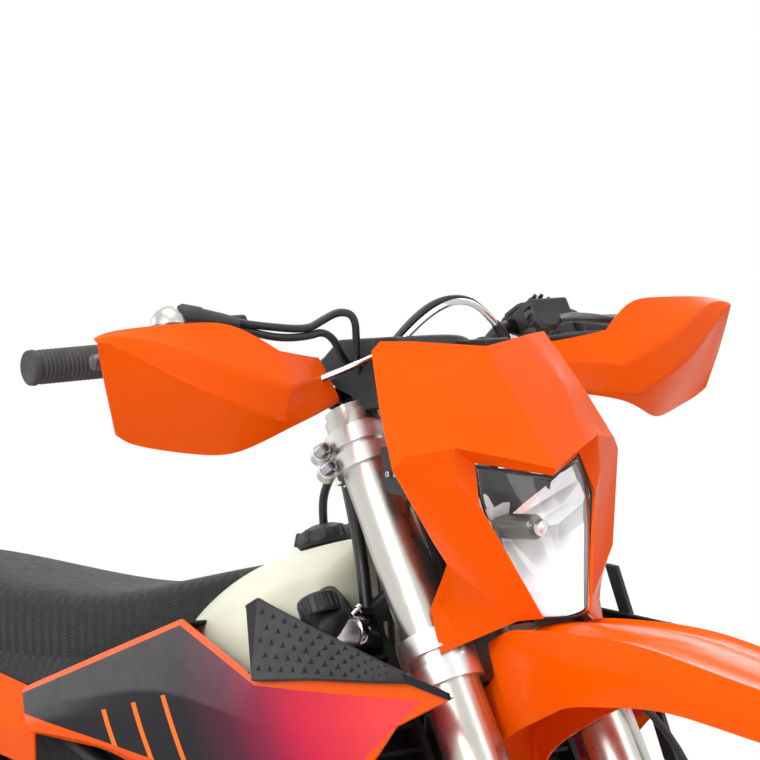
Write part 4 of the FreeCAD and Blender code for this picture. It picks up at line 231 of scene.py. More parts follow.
def cast(name, color, rough=0.42, metal=0.9):
    mat = shader(name, color, rough, metal)
    vary(mat, noise(mat, 0.03), color, 0.1)
    bump(mat, noise(mat, 0.0012, 4), 0.00008, 0.5)
    rough_range(mat, noise(mat, 0.01), rough * 0.85, rough * 1.2)
    return mat


def clear(name, color, rough, spread, drift=None, **more):
    """A smooth material whose shine wanders, and its colour too where drift gives a size and an amount."""
    mat = shader(name, color, rough, **more)
    rough_range(mat, noise(mat, 0.02), *spread)
    if drift:
        vary(mat, noise(mat, drift[0]), color, drift[1])
    return mat


def lens_clear():
    """Clear plastic that lets the lamps shine through onto the reflector."""
    mat = clear("lens_clear", (1, 1, 1), 0.03, (0.02, 0.045), Transmission_Weight=1.0, IOR=1.3)
    tree = mat.node_tree.nodes
    mix = mixed(mat, add(mat, "LightPath").outputs["Is Shadow Ray"], tree["Principled BSDF"].outputs["BSDF"],
                add(mat, "BsdfTransparent").outputs["BSDF"])
    feed(mat, tree["Material Output"].inputs["Surface"], mix)
    return mat


def mixed(mat, share, first, second):
    """One shader mixed into another by a share."""
    mix = add(mat, "MixShader")
    for socket, value in zip(mix.inputs, (share, first, second)):
        feed(mat, socket, value)
    return mix.outputs["Shader"]


def panel_coords(mat):
    """Coordinates of the upright bike in millimetres."""
    turn = LEAN.to_3x3().transposed()
    where = add(mat, "TexCoord").outputs["Object"]
    return add(mat, "Mapping", Scale=(1000, 1000, 1000), Rotation=turn.to_euler(),
               Location=-(turn @ LEAN.to_translation()), Vector=where).outputs["Vector"]


def along_line(mat, vector, weights):
    dot = add(mat, "VectorMath", set_operation="DOT_PRODUCT")
    feed(mat, dot.inputs[0], vector)
    feed(mat, dot.inputs[1], weights)
    return dot.outputs["Value"]


def maths(mat, kind, *values):
    node = add(mat, "Math", set_operation=kind)
    for socket, value in zip(node.inputs, values):
        feed(mat, socket, value)
    return node.outputs[0]


def inside(mat, value, low, high):
    return maths(mat, "MULTIPLY", maths(mat, "GREATER_THAN", value, low), maths(mat, "LESS_THAN", value, high))


def blend_color(mat, share, first, second):
    return add(mat, "Mix", set_data_type="RGBA", Factor=share, A=first, B=second).outputs["Result"]


GRADE = ((0, (0.012, 0.011, 0.013)), (0.34, (0.014, 0.009, 0.014)), (0.5, (0.1, 0.006, 0.03)),
         (0.62, (0.3, 0.006, 0.05)), (0.76, (0.72, 0.014, 0.06)), (1, (0.95, 0.062, 0.068)))
BAR_ORANGE = (1.0, 0.2, 0.02, 1)


def graphic_panel():
    """Orange plastic under a sheet with slanted plain bars that run from black to rose."""
    mat = gloss_plastic("panel_sheet", ORANGE)
    where = panel_coords(mat)

    def line(x, z):
        return along_line(mat, where, (x, 0, z))

    def times(a, b):
        return maths(mat, "MULTIPLY", a, b)

    def below(a, b):
        return maths(mat, "LESS_THAN", a, b)

    slant, rise = line(1, 0.62), line(-0.2, 1)
    crest = maths(mat, "MINIMUM", line(0.278, 0.96), maths(mat, "ADD", line(-0.024, 1), 30))
    foot = maths(mat, "MAXIMUM", line(0.104, 0.995), maths(mat, "ADD", line(0.447, 0.894), 72))
    field = times(times(below(line(-0.281, 0.96), 888), below(crest, 916)),
                  times(maths(mat, "GREATER_THAN", foot, 797), below(line(0.55, -0.835), -470)))
    share = add(mat, "MapRange", From_Min=420, From_Max=985, Value=slant).outputs["Result"]
    base = ramp(mat, noise(mat, 0.09), (NOISE_LOW, tuple(c * 0.97 for c in ORANGE)), (NOISE_HIGH, ORANGE))
    bars = times(inside(mat, maths(mat, "PINGPONG", slant, 34), 29, 40), inside(mat, slant, 430, 640))
    color = blend_color(mat, field, base, ramp(mat, share, *GRADE))
    color = blend_color(mat, times(bars, times(field, inside(mat, rise, 776, 860))), color, BAR_ORANGE)
    drive(mat, "Base Color", color)
    return mat


def seat_look(name, color, rough, groove):
    """Vinyl with fine slanted grooves that meet in chevrons, or plain grain."""
    mat = shader(name, color, rough, Sheen_Weight=0.02, Specular_IOR_Level=0.3)
    vary(mat, noise(mat, 0.04), color, 0.15)
    if groove:
        where = panel_coords(mat)
        zig = maths(mat, "PINGPONG", along_line(mat, where, (1, 0, 0)), 8)
        rise = along_line(mat, where, (0, 0, 1))
        bump(mat, maths(mat, "PINGPONG", maths(mat, "ADD", zig, rise), 1.9), 0.0004, 1.0)
    else:
        bump(mat, cells(mat, 1 / 900), 0.00015, 0.6)
    rough_range(mat, noise(mat, 0.01), rough * 0.85, rough * 1.15)
    return mat


ORANGE = (1.0, 0.106, 0.0)
M = dict(
    orange=gloss_plastic("orange_plastic", ORANGE),
    panel=gloss_plastic("black_gloss", (0.012, 0.012, 0.013), 0.32),
    black=grained("black_plastic", (0.016, 0.016, 0.017)),
    box=grained("box_plastic", (0.012, 0.012, 0.013), 0.6),
    fork=satin("fork_alloy", (0.6, 0.58, 0.535), 0.3),
    slider=satin("slider_steel", (0.66, 0.65, 0.64), 0.16),
    clamp=satin("clamp_alloy", (0.76, 0.75, 0.73), 0.36),
    bar=brushed("bar_alloy", (0.035, 0.035, 0.037), 0.36, (1, 0.05, 1)),
    pad=grained("pad_vinyl", (0.022, 0.022, 0.024), 0.5, 0.0016),
    grip=grained("grip_rubber", (0.045, 0.045, 0.047), 0.7, 0.0012),
    lever=cast("lever_alloy", (0.3, 0.3, 0.31), 0.4),
    glass=lens_clear(),
    mirror=satin("reflector", (0.96, 0.96, 0.97), 0.2, 0.4),
    hose=clear("hose_rubber", (0.012, 0.012, 0.013), 0.42, (0.34, 0.5), (0.02, 0.2)),
    tyre=grained("tyre_rubber", (0.018, 0.018, 0.019), 0.75, 0.0016),
    rim=brushed("rim_alloy", (0.02, 0.02, 0.022), 0.35, (1, 0.1, 1)),
    disc=brushed("disc_steel", (0.5, 0.5, 0.51), 0.3),
    steel=brushed("steel", (0.42, 0.42, 0.43), 0.3, (1, 0.2, 1)),
    chain=brushed("chain_steel", (0.2, 0.185, 0.16), 0.38),
    frame=gloss_plastic("frame_paint", (0.018, 0.018, 0.02), 0.3),
    rail=cast("rail_alloy", (0.02, 0.02, 0.022), 0.45, 0.4),
    engine=cast("engine_alloy", (0.2, 0.195, 0.19), 0.5),
    cover=cast("cover_alloy", (0.26, 0.25, 0.24), 0.42),
    exhaust=brushed("exhaust_steel", (0.42, 0.38, 0.33), 0.3),
    silencer=brushed("silencer_alloy", (0.6, 0.6, 0.61), 0.32, (0.05, 1, 1)),
    tank=clear("tank_plastic", (0.78, 0.8, 0.63), 0.42, (0.36, 0.48), (0.06, 0.03), Subsurface_Weight=0.25),
    tail=clear("tail_red", (0.35, 0.01, 0.008), 0.15, (0.1, 0.2), (0.02, 0.1), Transmission_Weight=0.3),
    arm=cast("arm_alloy", (0.5, 0.5, 0.51), 0.4),
    spring=gloss_plastic("spring_paint", (0.55, 0.55, 0.56), 0.3),
    skid=brushed("skid_alloy", (0.45, 0.45, 0.46), 0.4, (0.1, 1, 1)),
    peg=cast("peg_steel", (0.12, 0.12, 0.125), 0.5),
    caliper=cast("caliper_alloy", (0.05, 0.05, 0.055), 0.4),
    sheet=graphic_panel(),
    shield=brushed("bulb_shade", (0.16, 0.15, 0.14), 0.35, metal=0.8),
    cap=brushed("fork_cap_alloy", (0.5, 0.36, 0.16), 0.28),
    elbow=satin("elbow_alloy", (0.74, 0.74, 0.75), 0.36),
    seat_side=seat_look("seat_side", (0.009, 0.009, 0.01), 0.5, True),
    seat_top=seat_look("seat_top", (0.015, 0.015, 0.017), 0.6, False),
)


# The finish of the CAD nodes that stay in view
LOOKS = dict(
    box="airbox", black="bar_controls chain_guide fork_guards radiator_guards", chain="chain",
    steel="drive_sprocket front_axle pivot_bolt rear_axle sprocket", engine="engine",
    cover="engine_covers", exhaust="exhaust_header", lever="foot_levers", peg="footpegs",
    slider="fork_lowers", fork="fork_tubes", frame="frame", caliper="front_caliper rear_caliper",
    disc="front_disc rear_disc", orange="rear_fender", tyre="front_tyre rear_tyre",
    rim="front_wheel rear_wheel", bar="handlebar", clamp="lower_clamp top_clamp",
    rail="radiators subframe", spring="shock", arm="side_stand swingarm", silencer="silencer",
    skid="skid_plate", tail="tail_light",
)


# Width of their rounded edges, in millimetres
BEVELS = {
    1.2: "rear_fender", 0.8: "top_clamp lower_clamp skid_plate radiators", 0.6: "frame",
    2.0: "swingarm engine_covers", 1.0: "bar_controls tail_light", 4.0: "airbox",
}


def paint(obj, key):
    obj.data.materials.clear()
    obj.data.materials.append(M[key])


# Helpers for the moulded pieces. Points are (ahead, left, up) in a mapping's own frame.

MIRROR = (1, -1)


def raw(name, points, faces):
    mesh = bpy.data.meshes.new(name)
    mesh.from_pydata([tuple(p) for p in points], [], faces)
    mesh.update()
    smooth(mesh)
    return linked(name, mesh)


def from_bmesh(name, bm):
    mesh = bpy.data.meshes.new(name)
    bm.to_mesh(mesh)
    bm.free()
    return linked(name, mesh)


def spots(where, points, side=1):
    """Points in millimetres put through a mapping; side -1 mirrors them."""
    return [where(x, y * side, z) for x, y, z in points]


def place(obj, body, look, *old):
    """Gives a piece its finish, the body that carries it, and the CAD nodes that it stands for."""
    paint(obj, look)
    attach(obj, body)
    if old:
        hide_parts(*old)
    return obj


def stands_for(side, name):
    """A mirrored pair stands for one node, and its first piece says so."""
    return (name,) if side == MIRROR[0] else ()


def modify(obj, kind, **values):
    set_all(obj.modifiers.new(kind.lower(), kind), **values)


def shell(obj, thick):
    modify(obj, "SOLIDIFY", thickness=thick * MM, offset=-1, use_even_offset=True, use_quality_normals=True,
           thickness_clamp=0.6)


def rounded(obj, width, angle=30, segments=2, miter="MITER_ARC"):
    modify(obj, "BEVEL", width=width * MM, segments=segments, limit_method="ANGLE",
           angle_limit=math.radians(angle), harden_normals=True, use_clamp_overlap=True, miter_outer=miter)


def plate(obj, thick, rounding, body, look, *old):
    """Gives a sheet its thickness and rounded edges, and places it."""
    shell(obj, thick)
    rounded(obj, *rounding)
    place(obj, body, look, *old)


def subdivided(obj, levels, final):
    """Smooths a sheet, whose corners stay."""
    modify(obj, "SUBSURF", levels=levels, render_levels=final, boundary_smooth="PRESERVE_CORNERS")


def crease(obj, rows, across, along, amount=1.0, more=()):
    """Sharpens whole rows and columns of a grid's edges; negative numbers count from the end."""
    wide, tall = len(rows[0]), len(rows)
    wanted = set(more)
    wanted |= {(i % tall * wide + j, i % tall * wide + j + 1) for i in across for j in range(wide - 1)}
    wanted |= {(i * wide + j % wide, (i + 1) * wide + j % wide) for i in range(tall - 1) for j in along}
    layer = obj.data.attributes.new("crease_edge", "FLOAT", "EDGE")
    for edge in obj.data.edges:
        if tuple(sorted(edge.vertices)) in wanted:
            layer.data[edge.index].value = amount


def quads(rows, closed=False):
    """Quads between rows of points; closed joins each row's end to its start."""
    wide = len(rows[0])
    return [(i * wide + j, i * wide + (j + 1) % wide, (i + 1) * wide + (j + 1) % wide, (i + 1) * wide + j)
            for i in range(len(rows) - 1) for j in range(wide - 1 + closed)]


def flat(rows):
    return [p for row in rows for p in row]


def mend(obj, toward=None, merge=False):
    """Turns the faces outward, or so that they look toward a direction on the whole."""
    bm = bmesh.new()
    bm.from_mesh(obj.data)
    if merge:
        bmesh.ops.remove_doubles(bm, verts=bm.verts, dist=1e-6)
    bmesh.ops.recalc_face_normals(bm, faces=bm.faces)
    if toward:
        total = sum((face.normal * face.calc_area() for face in bm.faces), Vector())
        if total.dot(toward) < 0:
            bmesh.ops.reverse_faces(bm, faces=bm.faces)
    bm.to_mesh(obj.data)
    bm.free()
    return obj


def sheet(name, rows, toward):
    """A sheet through rows of points, its faces turned toward a direction."""
    return mend(raw(name, flat(rows), quads(rows)), toward)


def tube(name, where, points, radius, look, side=1, body="steering", closed=False, curved=True, old=()):
    """A round cord along points, as a curve."""
    data = set_all(bpy.data.curves.new(name, "CURVE"), dimensions="3D", bevel_depth=radius * MM,
                   bevel_resolution=3, use_fill_caps=True)
    spline = data.splines.new("NURBS" if curved else "POLY")
    spline.points.add(len(points) - 1)
    for spot, p in zip(spline.points, spots(where, points, side)):
        spot.co = (*p, 1)
    if curved:
        set_all(spline, order_u=3, use_endpoint_u=not closed, resolution_u=6)
    spline.use_cyclic_u = closed
    place(linked(name, data), body, look, *old)


def spun(name, rings, look, body, *old):
    """A turned form from rings of points."""
    obj = mend(raw(name, flat(rings), quads(rings, True)), merge=True)
    rounded(obj, 0.6)
    place(obj, body, look, *old)


def bulb_part(name, profile, look):
    """A form turned about the bulb's line, which runs ahead: pairs of place ahead and radius."""
    spun(name, [[bike(ahead, radius * c, BULB_UP + radius * s) for c, s in circle(28)] for ahead, radius in profile],
         look, "steering")


def turned(name, where, ends, profile, look, count=32, side=1, body="steering", old=()):
    """A form turned about the line between two ends: pairs of share along it and radius in millimetres."""
    start, end = spots(where, ends, side)
    axis = (end - start).normalized()
    across = axis.orthogonal().normalized()
    other = axis.cross(across)
    length = (end - start).length
    rings = []
    for share, radius in profile:
        middle = start + axis * (length * share)
        rings.append([middle + (across * c + other * s) * (radius * MM) for c, s in circle(count)])
    spun(name, rings, look, body, *old)


def mid(a, b, share):
    return tuple(p + (q - p) * share for p, q in zip(a, b))


def slab(name, corners, y_near, y_far, rounding, body="steering"):
    """A black block between two upright planes, from its corners in the bike's side view."""
    count = len(corners)
    faces = [list(range(count)), list(range(2 * count - 1, count - 1, -1))]
    faces += [[i, i + count, (i + 1) % count + count, (i + 1) % count] for i in range(count)]
    block = mend(raw(name, [bike(x, y, z) for y in (y_near, y_far) for x, z in corners], faces))
    rounded(block, *rounding)
    place(block, body, "black")


for look, names in LOOKS.items():
    for name in names.split():
        paint(nodes[name], look)
for width, names in BEVELS.items():
    for name in names.split():
        smooth(nodes[name].data)
        rounded(nodes[name], width, 24, miter="MITER_SHARP")


# Steering group

# Hand shields: rows from the left edge to the tip,
# each top, upper crease, lower crease, middle, lower edge
GUARD = [
    [(92, 418, 1348), (95, 420, 1345), (97, 419, 1341), (72, 409, 1307), (44, 391, 1270)],
    [(93, 402, 1354), (99, 400, 1348), (101, 401, 1337), (76, 392, 1296), (38, 378, 1263)],
    [(97, 352, 1355), (108, 350, 1330), (101, 352, 1297), (74, 350, 1274), (40, 345, 1253)],
    [(100, 310, 1354), (110, 310, 1306), (102, 308, 1274), (80, 308, 1258), (50, 308, 1240)],
    [(103, 263, 1353), (110, 262, 1289), (100, 270, 1257), (84, 270, 1246), (60, 276, 1232)],
    [(101, 217, 1319), (104, 221, 1278), (91, 233, 1249), (90, 231, 1247), (87, 229, 1244)],
    [(88, 176, 1318), (86, 175, 1295), (78, 179, 1264), (77, 179, 1262), (75, 180, 1260)],
    [(71, 146, 1323), (67, 138, 1302), (60, 129, 1284), (59, 129, 1282), (57, 130, 1280)],
]


def shields():
    for side in MIRROR:
        rows = [spots(fork, row, side) for row in GUARD]
        obj = raw("shield", flat(rows), [face[::-side] for face in quads(rows)])
        short = 5 * len(rows[0])
        crease(obj, rows, (0, -1), (0, 1, 2, 4), more=[(short, short + 1), (short + 1, short + 2)])
        subdivided(obj, 3, 3)
        plate(obj, 3.2, (0.8, 50), "steering", "orange", *stands_for(side, "handguards"))
    bar_low, bar_high = Vector((0, 78, 1305)), Vector((-3, 175, 1373.1))
    middle = bar_low.lerp(bar_high, 0.62)
    after = middle + (bar_high - bar_low).normalized() * 11
    for side in MIRROR:
        turned("shield_ring", fork, (middle, after),
               [(0, 11.2), (0, 16), (0.12, 16.6), (0.88, 16.6), (1, 16), (1, 11.2)], "bar", side=side)
        tube("shield_arm", fork, [(12, 139, 1347), (40, 170, 1340), (84, 226, 1322), (100, 262, 1311)], 5.5, "bar",
             side)


# Headlight mask, by named corners of its left half
MASK = dict(
    T0=(146, 0, 1289), Ta=(139, 38, 1297), Tb=(131, 76, 1306), T1=(121, 109, 1313),
    M0=(159, 0, 1222), Ma=(153, 42, 1230), Mb=(145, 84, 1239), M1=(127, 126, 1245),
    A0=(174, 0, 1141), Aa=(167, 32, 1155), Ab=(159, 64, 1169), N=(151, 95, 1182), Ki=(128, 140, 1187),
    F1=(112, 116, 1307), FM=(113, 134, 1243), K=(118, 150, 1179), Kj=(122, 132, 1165),
    N2=(142, 95, 1162), S=(137, 95, 1150), GK=(137, 77, 1128), GT=(143, 69, 1168),
    Gb=(152, 46, 1157), Ga=(160, 23, 1147), G0=(167, 0, 1137),
    E1=(101, 110, 1084), EM=(99, 78, 1052), W3=(97, 45, 1020), GB=(117, 32, 1012),
    W1=(54, 108, 1058), W2=(50, 111, 1014),
)
MASK_FACES = [
    "T0 Ta Ma M0", "Ta Tb Mb Ma", "Tb T1 M1 Mb", "M0 Ma Aa A0", "Ma Mb Ab Aa", "Mb M1 Ki N Ab",
    "T1 F1 FM M1", "M1 FM K Ki", "Ki K Kj", "N Ki Kj S N2", "K E1 EM Kj", "Kj EM W3 S", "S W3 GB GK",
    "E1 W1 W2 W3 EM", "N N2 S GK GT", "A0 Aa Ga G0", "Aa Ab Gb Ga", "Ab N GT Gb",
]


def mask():
    """Faces between the named corners, with the right half mirrored."""
    points = spots(fork, MASK.values())
    left = {key: i for i, key in enumerate(MASK)}
    right = dict(left)
    for key, (n, y, s) in MASK.items():
        if y:
            right[key] = len(points)
            points.append(fork(n, -y, s))
    faces = []
    for words in MASK_FACES:
        ring = words.split()
        faces += [[left[key] for key in ring], [right[key] for key in reversed(ring)]]
    obj = mend(raw("mask", points, faces), AHEAD)
    modify(obj, "SUBSURF", levels=2, render_levels=2, subdivision_type="SIMPLE")
    plate(obj, 2.8, (1.6, 11, 3), "steering", "orange", "headlight_mask")


# Lens: rows from its top edge down
GLASS = [
    [(142, -68, 1166), (157, -35, 1151), (166, 0, 1136), (157, 35, 1151), (142, 68, 1166)],
    [(133, -76, 1127), (152, -38, 1119), (161, 0, 1108), (152, 38, 1119), (133, 76, 1127)],
    [(124, -53, 1070), (141, -27, 1064), (149, 0, 1059), (141, 27, 1064), (124, 53, 1070)],
    [(115, -32, 1014), (121, -16, 1010), (124, 0, 1008), (121, 16, 1010), (115, 32, 1014)],
]
REFLECTOR_MIDDLE = Vector((95, 0, 1128))
REFLECTOR_DEPTH = 18
FACET_LENGTH = 22
FACET_STEP = 4
BULB_UP = 1042


def lamp():
    rows = [spots(fork, row) for row in GLASS]
    lens = sheet("lens", rows, AHEAD)
    crease(lens, rows, (0, -1), (0, -1))
    subdivided(lens, 3, 3)
    shell(lens, 2.0)
    place(lens, "steering", "glass", "headlight_glass")
    rim = [GLASS[i][j] for i, j in ((0, 0), (0, 2), (0, 4), (1, 4), (3, 4), (3, 2), (3, 0), (1, 0))]
    tube("lamp_gasket", fork, [(n - 1, y, s) for n, y, s in rim], 1.7, "hose", closed=True, curved=False)
    reflector([Vector(p) for p in rim])
    bulb_part("bulb_shield", [(398, 0), (398, 12.5), (464, 12.5), (467, 11), (467, 7), (470, 6), (471, 0)],
              "shield")
    bulb_part("bulb_cap", [(467, 0), (467, 7), (472, 8.5), (477, 7), (479, 3), (479.5, 0)], "slider")


def reflector(ring):
    """Facets in rings from the rim to the bulb, every second one set back in the upper half."""
    outline = []
    for a, b in zip(ring, ring[1:] + ring[:1]):
        steps = max(2, int((b - a).length / FACET_LENGTH))
        outline += [a.lerp(b, k / steps) for k in range(steps)]
    rows = []
    for share in (0, 0.3, 0.6, 0.84):
        deep = 3 + REFLECTOR_DEPTH * (1 - (1 - share) ** 2) * 1.1
        row = []
        for j, p in enumerate(outline):
            back = deep + FACET_STEP * (j % 2) * (share > 0) * (p.z > 1100)
            row.append(fork(*((p + (REFLECTOR_MIDDLE - p) * share) - Vector((back, 0, 0)))))
        rows.append(row)
    last = (len(rows) - 1) * len(outline)
    bowl = mend(raw("reflector", flat(rows), quads(rows, True) + [range(last, last + len(outline))]), AHEAD)
    for face in bowl.data.polygons:
        face.use_smooth = False
    place(bowl, "steering", "mirror")


CASE_RIM = [(165, 0, 1136), (143, -66, 1166), (134, -74, 1128), (115, -31, 1014), (115, 31, 1014), (134, 74, 1128),
            (143, 66, 1166)]
CASE_CENTRE = (96, 0, 1122)


def lamp_holders():
    """Housing behind the reflector, with its arms and the brackets beside it."""
    rows = [spots(fork, [Vector(mid(p, CASE_CENTRE, share)) - Vector((back, 0, 0)) for p in CASE_RIM])
            for share, back in ((0, 4), (0.12, 40), (0.35, 70), (1, 66))]
    case = mend(raw("lamp_case", flat(rows), quads(rows, True)), -AHEAD)
    shell(case, 2)
    place(case, "steering", "black", "headlight")
    for side in MIRROR:
        slab("lamp_bracket", [(376, 1127), (412, 1123), (410, 1079), (382, 1084)], -118 * side, -102 * side,
             (2, 30, 3))
        tube("lamp_arm", fork, [(30, 58, 1186), (84, 60, 1170), (112, 48, 1150)], 5, "black", side)
        tube("bracket_arm", fork, [(82, 106, 1190), (90, 80, 1178), (112, 54, 1152)], 5, "black", side)
        for x in (389, 401):
            turned("bracket_screw", bike, [(x, -117, 1101), (x, -121, 1101)],
                   [(0, 0), (0, 3.4), (0.7, 3.4), (1, 2.6), (1, 1.4), (0.6, 1.3), (0.6, 0)], "steel", 16, side)


# Front fender: place ahead, top, half width and lower edge of each row,
# and its section as shares of half width and height
FENDER = [(-52, 862, 40, 850), (-48, 930, 50, 905), (-25, 972, 52, 925), (46, 986, 58, 925), (55, 1018, 60, 925),
          (86, 1019, 61, 922), (112, 1008, 61, 920), (134, 997, 62, 918), (190, 968, 62, 893), (250, 931, 62, 866),
          (310, 880, 60, 820), (408, 801, 56, 745), (515, 723, 48, 694), (584, 672, 28, 658)]
FENDER_SECTION = [(0, 0), (0.3, 0.02), (0.52, 0.12), (0.8, 0.1), (0.9, 0.02), (0.955, 0.3), (1, 0.62), (0.985, 1)]


def fender():
    """A valley down the middle, a rib each side, a flank and a turned lower lip."""
    rows = []
    for n, top, half, low in FENDER:
        side = [(n, half * a, top - (top - low) * b) for a, b in FENDER_SECTION]
        rows.append(spots(fork, side[:0:-1], -1) + spots(fork, side))
    obj = sheet("front_mudguard", rows, Vector((0, 0, 1)))
    crease(obj, rows, (0, 3, 4), (0, 3, -4, -1), 0.8)
    subdivided(obj, 2, 3)
    plate(obj, 3, (0.8, 50), "steering", "orange", "front_fender")
    for n in (-11.5, 11.5):
        for side in MIRROR:
            turned("fender_boss", fork, [(n, 27, 962), (n, 27, 988.2)],
                   [(0, 0), (0, 9), (0.1, 10), (0.9, 7.4), (1, 7), (1, 0)], "black", 18, side)


# Hoses and cables of the steering: name, frame, radius, finish, points
ROUTES = [
    ("brake_hose", fork, 4, "hose", [
        (104, -82, 1310), (102, -20, 1313), (86, 18, 1290), (68, 20, 1120), (62, 67, 1045), (64, 72, 960),
        (70, 130, 890), (70, 132, 700), (-8, 128, 560), (-42, 86, 512), (-40, 52, 470)]),
    ("master_hose", fork, 4, "hose", [(28, -224, 1366), (56, -218, 1358), (62, -200, 1316), (66, -178, 1296)]),
    ("brake_pipe", fork, 3.6, "slider", [(64, -190, 1294), (74, -148, 1300), (100, -92, 1310), (106, -78, 1311)]),
    ("throttle_cable", bike, 3.9, "hose", [
        (262, -236, 1262), (284, -215, 1254), (294, -190, 1249), (316, -152, 1243), (322, -138, 1251),
        (328, -120, 1260), (338, -108, 1255), (332, -103, 1228), (322, -96, 1200), (300, -60, 1172)]),
    ("throttle_return", bike, 3.9, "hose", [
        (266, -230, 1256), (291, -200, 1243), (303, -172, 1236), (317, -150, 1237), (321, -136, 1241),
        (322, -122, 1232), (312, -108, 1216), (296, -70, 1188)]),
    ("clutch_pipe", fork, 3.3, "slider", [
        (20, -96, 1284), (26, -64, 1308), (40, -12, 1345), (56, 28, 1370), (68, 56, 1378), (64, 86, 1377),
        (50, 116, 1366), (36, 140, 1354)]),
    ("clutch_hose", fork, 3.8, "hose", [
        (36, 140, 1354), (50, 112, 1372), (62, 84, 1383), (60, 52, 1385), (48, 24, 1376), (30, -14, 1349),
        (16, -66, 1308), (10, -96, 1284), (30, -60, 1230), (50, 0, 1200)]),
    ("stop_wire", fork, 2.2, "hose", [
        (8, -216, 1352), (24, -196, 1340), (34, -150, 1330), (26, -110, 1300), (34, -60, 1262), (40, -40, 1200)]),
]


def steering_hoses():
    for name, where, radius, look, points in ROUTES:
        tube(name, where, points, radius, look, old=("hoses",) if name == ROUTES[0][0] else ())
    for name, start, end, radius, look in (
            ("brake_union", (46, -219, 1360), (62, -209, 1346), 6.2, "steel"),
            ("clutch_union", (44, 126, 1361), (30, 148, 1349), 5.6, "hose"),
            ("clutch_elbow", (30, 148, 1349), (22, 178, 1350), 6.2, "slider")):
        turned(name, fork, (start, end),
               [(0, 0), (0, radius * 0.8), (0.2, radius), (0.8, radius), (1, radius * 0.8), (1, 0)], look, 20)


def soft_box(name, centre, size, power):
    """A crowned closed pad on a rounded box of the fork's frame; a higher power makes it squarer."""
    bm = bmesh.new()
    bmesh.ops.create_cube(bm, size=2)
    bmesh.ops.subdivide_edges(bm, edges=bm.edges, cuts=9, use_grid_fill=True)
    for vert in bm.verts:
        x, y, z = vert.co
        length = (abs(x) ** power + abs(y) ** power + abs(z) ** power) ** (1 / power)
        unit = Vector((x, y, z)) / length
        swell = 1 + 0.035 * (1 - abs(unit.y) ** 2)
        vert.co = fork(*(m + u * w / 2 * grow for m, u, w, grow in zip(centre, unit, size, (swell, 1, swell))))
    obj = from_bmesh(name, bm)
    smooth(obj.data)
    return obj


PAD_UP = 1341
PAD_POWER = 4.5


def handlebar_pad():
    pad = soft_box("pad", (15, 0, PAD_UP), (70, 184, 25), PAD_POWER)
    modify(pad, "SUBSURF", levels=1, render_levels=2)
    place(pad, "steering", "pad", "bar_pad")
    for n in (-6, 36):
        welt = []
        for c, s in circle(24):
            grow = (abs(c) ** PAD_POWER + abs(s) ** PAD_POWER) ** (-1 / PAD_POWER)
            welt.append((n, 88 * c * grow, PAD_UP + 11 * s * grow))
        tube("pad_welt", fork, welt, 1.5, "pad", closed=True)


def bar_cover():
    """The faceted black covers of the bar clamp beside the pad, the near one a little lower."""
    corners = [(259, 1209), (290, 1231), (343, 1232), (349, 1163), (314, 1160), (306, 1175), (282, 1183)]
    for side in MIRROR:
        drop = 8 if side < 0 else 0
        slab("bar_cover", [(x, z - drop) for x, z in corners], -92 * side, -58 * side, (2.4, 20, 3))


RIBS = 22
RIB_STEP = 0.037


def hand_grips():
    profile = [(0, 0), (0, 14.5), (0.012, 16.8), (0.05, 17.4), (0.07, 16.2)]
    for i in range(RIBS):
        low = 0.09 + i * RIB_STEP
        profile += [(low, 15.8), (low + 0.01, 16.6), (low + 0.022, 16.6), (low + 0.03, 15.8)]
    profile += [(0.92, 16), (0.94, 22.5), (0.955, 23.6), (0.985, 23.6), (1, 22), (1, 12)]
    end, knee = Vector((-30, 405, 1379)), Vector((-3, 175, 1373.1))
    back = (knee - end).normalized()
    for side in MIRROR:
        turned("hand_grip", fork, (end - back * 3, end + back * 123), profile, "grip", 40, side,
               old=stands_for(side, "grips"))


LEVER = ((26, 218, 1368), (44, 226, 1364), (60, 246, 1353), (62, 268, 1348), (56, 320, 1346), (48, 385, 1344))


def hand_levers():
    """Black levers with ball ends ahead of the grips, and the toothed lid of the clutch master."""
    for side in MIRROR:
        tube("hand_lever", fork, LEVER, 5.4, "peg", side, old=stands_for(side, "levers"))
        turned("lever_ball", fork, [(49, 379, 1344), (47, 396, 1344)],
               [(0, 3), (0.15, 6.6), (0.5, 8.4), (0.85, 6.6), (1, 0)], "peg", 24, side)
    middle = Vector((16, 205, 1376))
    turned("clutch_lid", fork, [(30, 205, 1370), (42, 205, 1372)],
           [(0, 0), (0, 20), (0.15, 21.5), (0.7, 21.5), (1, 17), (1, 0)], "black", 40)
    for c, s in circle(14):
        spot = middle + Vector((16, 21 * c, 21 * s - 6))
        turned("lid_tooth", fork, (spot, spot + Vector((9, 0, 2))), [(0, 0), (0, 2.6), (1, 2.2), (1, 0)],
               "black", 10)


